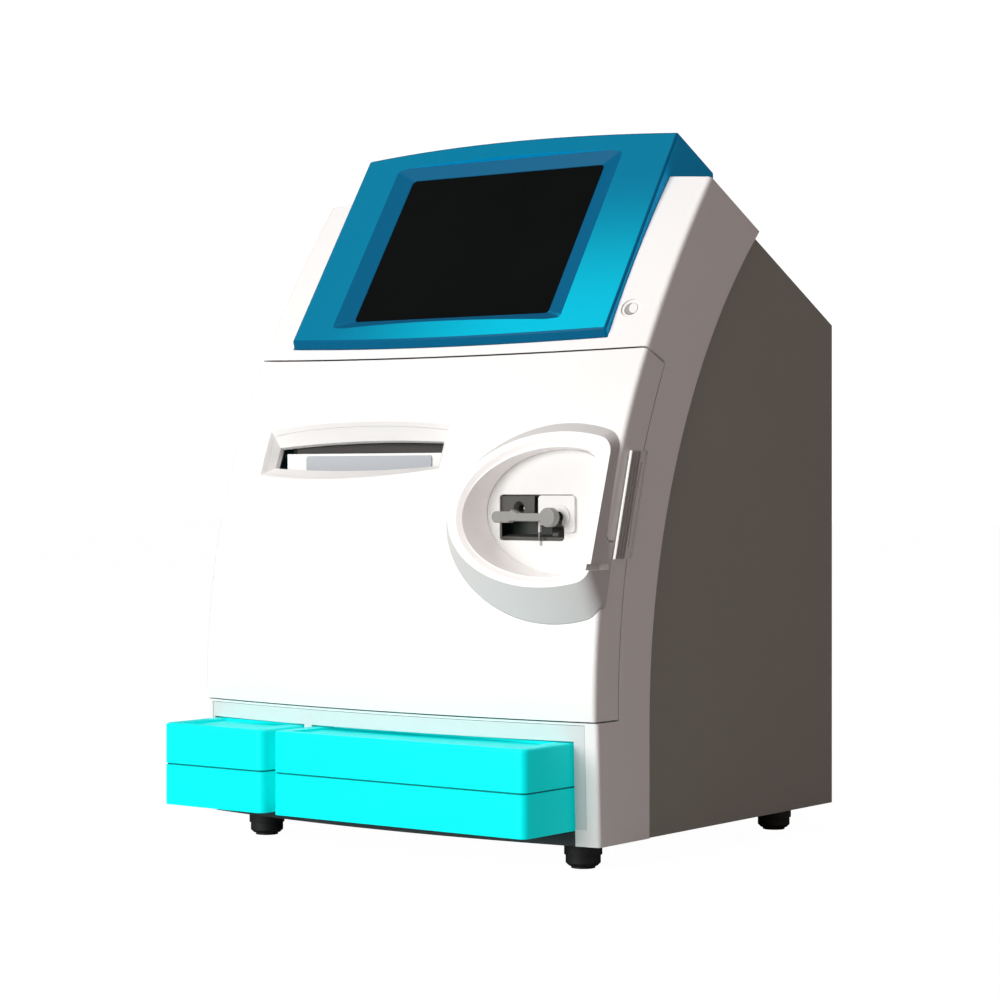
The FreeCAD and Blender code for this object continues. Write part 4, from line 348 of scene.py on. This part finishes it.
def raise_grain(tree, inputs, height, distance=1.0, softened=True):
    """Turn a height into relief, on plastic over edges that look softened."""
    bump = tree.nodes.new("ShaderNodeBump")
    bump.inputs["Distance"].default_value = distance
    link(tree, height, bump.inputs["Height"])
    if softened:
        edge = tree.nodes.new("ShaderNodeBevel")
        edge.samples = 4
        edge.inputs["Radius"].default_value = bpy.context.scene.analyzer_finish.edge / 1000.0
        link(tree, edge.outputs["Normal"], bump.inputs["Normal"])
    link(tree, bump.outputs["Normal"], inputs["Normal"])


def grain_depth(share):
    """A share of the set grain, in metres."""
    return bpy.context.scene.analyzer_finish.grain * share / 1000.0


def moulded_plastic(name, base, roughness, spread, grain, scale, coat=0.0, dust=0.10, patch=0.04,
                    specular=0.5):
    """Moulded plastic: slight mottling, fine grain, thin dust on top faces."""
    material, tree, inputs = new_material(name)
    texture = place_group(tree, "moulded_grain", Scale=scale, Depth=grain_depth(grain))
    dusty = place_group(tree, "settled_dust", Amount=dust)["Mask"]
    mottled = mix_colour(tree, texture["Patch"], shade(base, 1.0 - patch), shade(base, 1.0 + patch))
    link(tree, mix_colour(tree, dusty, mottled, DUST), inputs["Base Color"])
    gloss = ramp(tree, texture["Patch"], roughness - spread / 2, roughness + spread / 2)
    link(tree, math_node(tree, "ADD", gloss, dusty, clamp=True), inputs["Roughness"])
    raise_grain(tree, inputs, texture["Height"])
    inputs["Coat Weight"].default_value = coat
    inputs["Coat Roughness"].default_value = COAT_ROUGHNESS
    inputs["Specular IOR Level"].default_value = specular
    return material


def rolled_metal(name, base, roughness, stretch=0.03, scale=300.0):
    """Rolled or brushed metal with long lines in its gloss."""
    material, tree, inputs = new_material(name)
    lines = place_group(tree, "rolled_lines", Scale=scale, Stretch=stretch)["Lines"]
    link(tree, mix_colour(tree, lines, shade(base, 0.86), shade(base, 1.08)), inputs["Base Color"])
    link(tree, ramp(tree, lines, roughness - 0.1, roughness + 0.12), inputs["Roughness"])
    raise_grain(tree, inputs, lines, distance=LINE_DEPTH, softened=False)
    inputs["Metallic"].default_value = 1.0
    return material


def overpaint(material, mask, paint):
    """Lay a second colour over a plastic where the mask is 1."""
    tree = material.node_tree
    socket = tree.nodes["Principled BSDF"].inputs["Base Color"]
    link(tree, mix_colour(tree, mask, socket.links[0].from_socket, paint), socket)


def paint_light(material, mask, outside, inside):
    """Paint light onto a plastic as a glow: the first colour where the mask is 0, the second where it is 1.
    """
    tree = material.node_tree
    inputs = tree.nodes["Principled BSDF"].inputs
    link(tree, mix_colour(tree, mask, outside, inside), inputs["Emission Color"])
    inputs["Emission Strength"].default_value = 1.0


def ring_plastic(name, tint):
    """White rim, painted shade on the skirt outside it, and painted light on the tunnel's inner walls."""
    material = moulded_plastic(name, tint.housing, roughness=0.40, spread=0.06, grain=1.0, scale=1100.0,
                               dust=0.0, patch=0.015)
    tree = material.node_tree
    place, normal = surface(tree)
    spoke = vector_node(tree, "NORMALIZE", vector_node(tree, "SUBTRACT", place, RING_CENTRE))
    outward = dot(tree, normal, spoke)
    beside_rim = inverse(tree, smooth_step(tree, dot(tree, normal, RING_AXIS), *RING_RIM_TURN))
    skirt = math_node(tree, "MULTIPLY", smooth_step(tree, outward, *RING_SKIRT_TURN), beside_rim)
    # Painted shade: the skirt outside the rim is greyed where it turns away from the front
    overpaint(material, skirt, shade(tint.housing, SKIRT_PAINTED_SHADE))
    tunnel = smooth_step(tree, math_node(tree, "MULTIPLY", outward, -1.0), *RING_TUNNEL_TURN)
    # Painted light: the tunnel's inner walls glow so they look lit
    paint_light(material, tunnel, BLACK, TUNNEL_PAINTED_LIGHT)
    return material


def plate_plastic(name, tint):
    """The panel's white, with the shaded part of the tongue that hangs across the window."""
    material = moulded_plastic(name, PANEL_WHITE, roughness=0.42, spread=0.06, grain=1.0, scale=1000.0,
                               dust=0.02)
    overpaint(material, level_band(material.node_tree, *PLATE_TONGUE_Z), TONGUE_SHADED)
    return material


def pack_plastic(name, tint):
    """Bright cyan with painted light, a glow as if lit from inside, and painted shade in the seam groove
    between the halves.
    """
    material = moulded_plastic(name, tint.packs, roughness=0.38, spread=0.06, grain=1.0, scale=900.0,
                               dust=0.0, patch=0.02, specular=0.10)
    seam = level_band(material.node_tree, *PACK_SEAM_Z)
    # Painted shade: a dark line in the groove of the seam
    overpaint(material, seam, shade(tint.packs, SEAM_PAINTED_SHADE))
    # Painted light: the packs glow everywhere except in the seam
    paint_light(material, seam, shade(tint.packs, PACK_PAINTED_LIGHT_SHARE), BLACK)
    return material


def button_plastic(name, tint):
    """White key with a grey crescent of painted shadow along one edge of it."""
    material = moulded_plastic(name, tint.button, roughness=0.3, spread=0.05, grain=0.5, scale=600.0,
                               coat=0.2)
    tree = material.node_tree
    reach = vector_node(tree, "DISTANCE", surface(tree)[0], BUTTON_LIT_DISC, "Value")
    crescent_shadow = smooth_step(tree, reach, BUTTON_LIT_DISC_RADIUS, BUTTON_LIT_DISC_RADIUS + 2 * MASK_EDGE)
    # Painted shadow: the key is grey outside a disc set off from its middle, like the shaded side of its
    # dimple
    overpaint(material, crescent_shadow, CRESCENT_SHADOW_GREY)
    return material


def grip_plastic(name, tint):
    """Grey ribs and a ridge with a painted highlight, told apart by how far they stand out."""
    material = moulded_plastic(name, tint.grip, roughness=0.40, spread=0.08, grain=1.0, scale=900.0,
                               dust=0.0)
    tree = material.node_tree
    across = axis_of(tree, surface(tree)[0], "X")
    ridge = smooth_step(tree, across, GRIP_RIDGE_X, GRIP_RIDGE_X + 2 * MASK_EDGE)
    # Painted highlight: the ridge is painted white and made to glow
    overpaint(material, ridge, RIDGE_HIGHLIGHT_WHITE)
    paint_light(material, ridge, BLACK, RIDGE_HIGHLIGHT_GLOW)
    return material


def pod_plastic(name, tint):
    """Satin blue with painted light and shade: lit at the lower right, shaded towards top and left and on the
    slopes, lighter on the sides.
    """
    material, tree, inputs = new_material(name)
    texture = place_group(tree, "moulded_grain", Scale=500.0, Depth=grain_depth(1 / 3))
    place, normal = surface(tree)
    # Painted light and shade: the face is lit towards the lower right and shaded towards the top and left
    low = inverse(tree, smooth_step(tree, axis_of(tree, place, "Z"), *POD_FADE_Z))
    right = smooth_step(tree, axis_of(tree, place, "X"), *POD_FADE_X)
    bright = mix_colour(tree, texture["Patch"], shade(tint.bezel, 0.97), shade(tint.bezel, 1.03))
    face = mix_colour(tree, math_node(tree, "MULTIPLY", low, right), tint.bezel_deep, bright)
    facing = dot(tree, normal, POD_FRONT)
    # Painted shade on the slopes round the glass and painted light on the sides, top and back
    front = mix_colour(tree, smooth_step(tree, facing, *POD_FACE_TURN), tint.bezel_slope, face)
    whole = mix_colour(tree, smooth_step(tree, facing, *POD_SIDE_TURN), tint.bezel_side, front)
    link(tree, whole, inputs["Base Color"])
    link(tree, ramp(tree, texture["Patch"], 0.36, 0.42), inputs["Roughness"])
    raise_grain(tree, inputs, texture["Height"])
    inputs["Specular IOR Level"].default_value = 0.08
    return material


def screen_glass(name, tint):
    """Black glass over a dark display, with faint smears in its gloss."""
    material, tree, inputs = new_material(name)
    smears = place_group(tree, "moulded_grain", Scale=40.0, Depth=0.0, Patch_Scale=14.0)["Patch"]
    link(tree, mix_colour(tree, smears, SCREEN_CLEAN, SCREEN_SMEARED), inputs["Base Color"])
    link(tree, ramp(tree, smears, 0.05, 0.11), inputs["Roughness"])
    inputs["Specular IOR Level"].default_value = 0.05
    return material


def clear_plastic(name, tint):
    """Clear cover of the measuring chamber."""
    material, tree, inputs = new_material(name)
    smears = place_group(tree, "moulded_grain", Scale=60.0, Depth=0.0)["Patch"]
    link(tree, mix_colour(tree, smears, shade(COVER_CLEAR, 0.97), COVER_CLEAR), inputs["Base Color"])
    link(tree, ramp(tree, smears, 0.04, 0.1), inputs["Roughness"])
    inputs["Transmission Weight"].default_value = 0.9
    inputs["IOR"].default_value = 1.49
    return material


# Base colour or its property, roughness, its spread, share of the set grain, scale of the grain, and what
# differs from common plastic
PLASTICS = {
    "white_plastic": ("housing", 0.40, 0.06, 1.0, 1100.0, {"dust": 0.03, "patch": 0.015}),
    "fascia_white": ("fascia", 0.45, 0.06, 1.0, 1100.0, {"dust": 0.03, "patch": 0.02}),
    "grey_casing": ("casing", 0.55, 0.10, 3.0, 700.0, {"dust": 0.08}),
    "grey_panel": ("rear_panel", 0.50, 0.10, 2.0, 800.0, {"dust": 0.05}),
    "lever_grey": ("lever", 0.40, 0.08, 1.0, 900.0, {"dust": 0.02}),
    "black_plastic": ((0.018, 0.018, 0.018), 0.45, 0.10, 1.0, 800.0, {}),
    "dark_plastic": ((0.035, 0.036, 0.040), 0.50, 0.10, 2.0, 800.0, {}),
    "port_black": ((0.046, 0.045, 0.039), 0.42, 0.08, 1.0, 800.0, {}),
    "shaft_dark": ((0.016, 0.024, 0.018), 0.30, 0.06, 1.0, 800.0, {"dust": 0.0}),
    "head_dark": ((0.020, 0.017, 0.014), 0.50, 0.08, 1.0, 800.0, {"dust": 0.0}),
    "panel_white": (PANEL_WHITE, 0.42, 0.06, 1.0, 1000.0, {"dust": 0.02}),
    "tear_white": ((0.86, 0.86, 0.84), 0.38, 0.06, 1.0, 1000.0, {"dust": 0.02}),
    "pad_slate": ((0.42, 0.445, 0.47), 0.50, 0.08, 2.0, 900.0, {"dust": 0.02}),
    "white_fitting": ((0.70, 0.70, 0.68), 0.35, 0.06, 1.0, 700.0, {}),
    "pump_grey": ((0.07, 0.08, 0.09), 0.40, 0.08, 1.0, 700.0, {}),
    "roller_white": ((0.68, 0.68, 0.64), 0.25, 0.05, 0.5, 600.0, {}),
    "sensor_caps": ((0.62, 0.26, 0.05), 0.35, 0.06, 1.0, 700.0, {}),
    "paper_white": ((0.82, 0.82, 0.79), 0.80, 0.06, 2.0, 2500.0, {"specular": 0.1}),
    "black_rubber": ((0.012, 0.012, 0.012), 0.62, 0.12, 4.0, 600.0, {"dust": 0.2}),
    "fan_black": ((0.014, 0.014, 0.015), 0.40, 0.08, 1.0, 700.0, {}),
    "rocker_black": ((0.012, 0.012, 0.012), 0.30, 0.06, 1.0, 700.0, {}),
    "board_green": ((0.012, 0.130, 0.045), 0.32, 0.06, 1.0, 900.0, {"coat": 0.3}),
}

# Base colour and roughness, then stretch and scale of the lines where they aren't the common ones
METALS = {
    "zinc_sheet": ((0.56, 0.57, 0.58), 0.38),
    "screw_steel": ((0.50, 0.50, 0.50), 0.30, 1.0, 500.0),
    "hinge_steel": ((0.45, 0.45, 0.46), 0.34),
    "probe_steel": ((0.62, 0.62, 0.62), 0.20, 1.0, 500.0),
    "display_metal": ((0.55, 0.55, 0.57), 0.40),
    "motor_steel": ((0.42, 0.42, 0.43), 0.40, 0.2),
    "chamber_block": ((0.62, 0.63, 0.64), 0.36),
    "blackened_sheet": ((0.020, 0.019, 0.018), 0.50),
    "guard_chrome": ((0.65, 0.65, 0.66), 0.16, 1.0, 400.0),
    "port_metal": ((0.50, 0.50, 0.50), 0.30),
}

OWN_FINISHES = {
    "blue_gloss": pod_plastic,
    "cyan_plastic": pack_plastic,
    "grip_grey": grip_plastic,
    "button_white": button_plastic,
    "screen_black": screen_glass,
    "clear_cover": clear_plastic,
    "ring_white": ring_plastic,
    "plate_white": plate_plastic,
}

MATERIALS = {}


def make_finish(name):
    tint = bpy.context.scene.analyzer_finish
    if name in OWN_FINISHES:
        return OWN_FINISHES[name](name, tint)
    if name in METALS:
        return rolled_metal(name, *METALS[name])
    base, *values, more = PLASTICS[name]
    if isinstance(base, str):
        base = getattr(tint, base)
    return moulded_plastic(name, base, *values, **more)


def dress(piece, name):
    """Give a piece one finish, which is made when it is first asked for."""
    if name not in MATERIALS:
        MATERIALS[name] = make_finish(name)
    piece.data.materials.clear()
    piece.data.materials.append(MATERIALS[name])


class ANALYZER_OT_finish_nodes(bpy.types.Operator):
    """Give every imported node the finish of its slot, and blacken the printer's frame"""
    bl_idname = "analyzer.finish_nodes"
    bl_label = "Finish the packed pieces"

    def execute(self, context):
        for name, node in NODES.items():
            dress(node, SLOT_OF[name])
        dress(NODES["printer_frame"], "blackened_sheet")
        return {"FINISHED"}


class ANALYZER_OT_finish_ring(bpy.types.Operator):
    """Give the ring round the sampler its white rim, painted shade on its skirt and painted light in its
    tunnel
    """
    bl_idname = "analyzer.finish_ring"
    bl_label = "Finish the sampler's ring"

    def execute(self, context):
        dress(NODES["sampler_surround"], "ring_white")
        return {"FINISHED"}


class ANALYZER_OT_finish_plate(bpy.types.Operator):
    """Give the sampler's plate its shaded tongue"""
    bl_idname = "analyzer.finish_plate"
    bl_label = "Finish the sampler's plate"

    def execute(self, context):
        dress(NODES["sampler_plate"], "plate_white")
        return {"FINISHED"}


# Pieces in the window under the lever

def add_object(name, data):
    thing = bpy.data.objects.new(name, data)
    bpy.context.scene.collection.objects.link(thing)
    return thing


def new_piece(name, work, slot, body):
    """Turn a finished bmesh into a piece that rides on a body."""
    bmesh.ops.recalc_face_normals(work, faces=work.faces)
    mesh = bpy.data.meshes.new(name)
    work.to_mesh(mesh)
    work.free()
    piece = add_object(name, mesh)
    dress(piece, slot)
    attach(piece, body)


def extruded_profile(points, start, end):
    """A closed profile in the YZ plane, extruded along X."""
    work = bmesh.new()
    face = work.faces.new([work.verts.new((start, y, z)) for y, z in points])
    grown = bmesh.ops.extrude_face_region(work, geom=[face], use_keep_orig=True)
    moved = [item for item in grown["geom"] if isinstance(item, bmesh.types.BMVert)]
    bmesh.ops.translate(work, verts=moved, vec=(end - start, 0.0, 0.0))
    return work


def round_edges(work, radius):
    bmesh.ops.bevel(work, geom=list(work.edges), offset=radius, offset_type="OFFSET", segments=2,
                    profile=0.5, affect="EDGES", material=-1, clamp_overlap=True)


class ANALYZER_OT_port_apron(bpy.types.Operator):
    """Model the dark apron, the black sheet behind it as painted shade for the dark inside, and the wedge
    under the sampling lever
    """
    bl_idname = "analyzer.port_apron"
    bl_label = "Model the port apron"

    def execute(self, context):
        values = context.scene.analyzer_apron
        front, foot, lip, slope = values.front, values.foot, values.lip, values.slope

        top = foot + lip * APRON_RISE
        back = front + slope * APRON_DEPTH
        work = extruded_profile(
            [(front, foot), (front, foot + lip), (front + slope, top), (back, top), (back, foot)],
            values.left, values.right)
        round_edges(work, lip * APRON_EDGE)
        new_piece("port_apron", work, "port_black", "chassis")

        # Painted shade: a black sheet behind the apron stands in for the dark inside of the body
        left = values.left - slope
        size = (values.right - left, values.sheet, values.backing)
        centre = ((left + values.right) / 2, values.backing_back - values.sheet / 2,
                  foot + values.backing / 2)
        work = bmesh.new()
        bmesh.ops.create_cube(work, size=1.0)
        bmesh.ops.scale(work, verts=work.verts, vec=size)
        bmesh.ops.translate(work, verts=work.verts, vec=centre)
        round_edges(work, values.sheet * SHEET_EDGE)
        new_piece("port_backing", work, "shaft_dark", "chassis")

        half = values.wedge_width / 2
        lying = Euler((math.radians(90.0), 0.0, 0.0)).to_matrix()
        square = Euler((0.0, 0.0, math.radians(45.0))).to_matrix()
        work = bmesh.new()
        bmesh.ops.create_cone(work, cap_ends=True, segments=4, radius1=half * math.sqrt(2.0),
                              radius2=half * WEDGE_TIP, depth=slope)
        bmesh.ops.rotate(work, verts=work.verts, cent=(0.0, 0.0, 0.0), matrix=lying @ square)
        bmesh.ops.scale(work, verts=work.verts, vec=(1.0, 1.0, WEDGE_FLATNESS))
        bmesh.ops.translate(work, verts=work.verts,
                            vec=(values.wedge_centre, front + slope / 2, foot + lip * WEDGE_RISE))
        round_edges(work, lip * WEDGE_EDGE)
        new_piece("lever_wedge", work, "port_black", "chassis")
        return {"FINISHED"}


# The stage

def area_light(name, place, size, power, tone=WHITE):
    data = bpy.data.lights.new(name, "AREA")
    data.shape = "RECTANGLE"
    data.size, data.size_y = size
    data.energy = power
    data.color = tone
    lamp = add_object(name, data)
    lamp.location = place
    lamp.rotation_euler = (Vector(LIGHT_TARGET) - Vector(place)).to_track_quat("-Z", "Y").to_euler()


def floor_paint(tone):
    """Floor that looks white to the camera and sends grey light back to the object."""
    material, tree, inputs = new_material("floor_paint")
    patch = place_group(tree, "moulded_grain", Scale=300.0, Depth=0.0)["Patch"]
    link(tree, mix_colour(tree, patch, shade(tone, 0.995), tone), inputs["Base Color"])
    inputs["Roughness"].default_value = 0.8
    inputs["Specular IOR Level"].default_value = 0.1
    glow = tree.nodes.new("ShaderNodeEmission")
    glow.inputs["Strength"].default_value = FLOOR_SEEN
    seen = tree.nodes.new("ShaderNodeLightPath").outputs["Is Camera Ray"]
    blend = tree.nodes.new("ShaderNodeMixShader")
    link(tree, ramp(tree, seen, 0.0, FLOOR_SEEN_SHARE), blend.inputs[0])
    link(tree, tree.nodes["Principled BSDF"].outputs[0], blend.inputs[1])
    link(tree, glow.outputs[0], blend.inputs[2])
    link(tree, blend.outputs[0], tree.nodes["Material Output"].inputs["Surface"])
    return material


def set_camera(scene, lens):
    """The photograph's camera, level and turned to the object's right."""
    data = bpy.data.cameras.new("camera")
    camera = add_object("camera", data)
    azimuth = math.radians(CAMERA_AZIMUTH)
    look = Vector((-math.sin(azimuth), math.cos(azimuth), 0.0))
    camera.location = CAMERA_PLACE
    camera.rotation_euler = look.to_track_quat("-Z", "Y").to_euler()
    data.sensor_width = 36.0
    data.lens = lens
    data.shift_y = CAMERA_SHIFT_Y
    data.clip_start = CAMERA_NEAR
    scene.camera = camera


def lay_floor(tone):
    work = bmesh.new()
    bmesh.ops.create_grid(work, x_segments=1, y_segments=1, size=FLOOR_REACH)
    mesh = bpy.data.meshes.new("floor")
    work.to_mesh(mesh)
    work.free()
    floor = add_object("floor", mesh)
    mesh.materials.append(floor_paint(tone))


def set_surroundings(scene, strength):
    """Pale surroundings that look white to the camera and light the object warmly."""
    world = bpy.data.worlds.new("surroundings")
    world.use_nodes = True
    tree = world.node_tree
    seen = tree.nodes.new("ShaderNodeLightPath").outputs["Is Camera Ray"]
    background = tree.nodes["Background"].inputs
    link(tree, mix_colour(tree, seen, SKY_TONE, WHITE), background["Color"])
    link(tree, ramp(tree, seen, strength, SKY_SEEN), background["Strength"])
    scene.world = world


class ANALYZER_OT_studio(bpy.types.Operator):
    """Build the pale floor, the soft lights, the surroundings and the camera"""
    bl_idname = "analyzer.studio"
    bl_label = "Set the studio"

    def execute(self, context):
        scene = context.scene
        values = scene.analyzer_stage
        set_camera(scene, values.lens)
        lay_floor(values.floor)
        area_light("key", KEY_PLACE, KEY_SIZE, values.key_power)
        area_light("fill", FILL_PLACE, FILL_SIZE, values.fill_power, FILL_TONE)
        area_light("top", TOP_PLACE, TOP_SIZE, values.key_power * TOP_SHARE)
        set_surroundings(scene, values.sky)
        scene.view_settings.view_transform = "Standard"
        return {"FINISHED"}


class ANALYZER_PT_panel(bpy.types.Panel):
    """Lists the settings and the steps that dress the analyzer"""
    bl_idname = "ANALYZER_PT_panel"
    bl_label = "Blood gas analyzer"
    bl_space_type = "VIEW_3D"
    bl_region_type = "UI"
    bl_category = "Analyzer"

    def draw(self, context):
        scene = context.scene
        for group in (scene.analyzer_finish, scene.analyzer_apron, scene.analyzer_stage):
            for name in group.__annotations__:
                self.layout.prop(group, name)
        for step in STEPS:
            self.layout.operator(step.bl_idname)


STEPS = (ANALYZER_OT_studio, ANALYZER_OT_finish_nodes, ANALYZER_OT_finish_ring, ANALYZER_OT_finish_plate,
         ANALYZER_OT_port_apron)
CLASSES = (AnalyzerFinish, AnalyzerApron, AnalyzerStage, *STEPS, ANALYZER_PT_panel)


def register():
    for item in CLASSES:
        bpy.utils.register_class(item)
    bpy.types.Scene.analyzer_finish = bpy.props.PointerProperty(type=AnalyzerFinish)
    bpy.types.Scene.analyzer_apron = bpy.props.PointerProperty(type=AnalyzerApron)
    bpy.types.Scene.analyzer_stage = bpy.props.PointerProperty(type=AnalyzerStage)


def unregister():
    del bpy.types.Scene.analyzer_stage
    del bpy.types.Scene.analyzer_apron
    del bpy.types.Scene.analyzer_finish
    for item in reversed(CLASSES):
        bpy.utils.unregister_class(item)


def main():
    register()
    for step in STEPS:
        area, name = step.bl_idname.split(".")
        getattr(getattr(bpy.ops, area), name)()


if __name__ == "__main__":
    main()
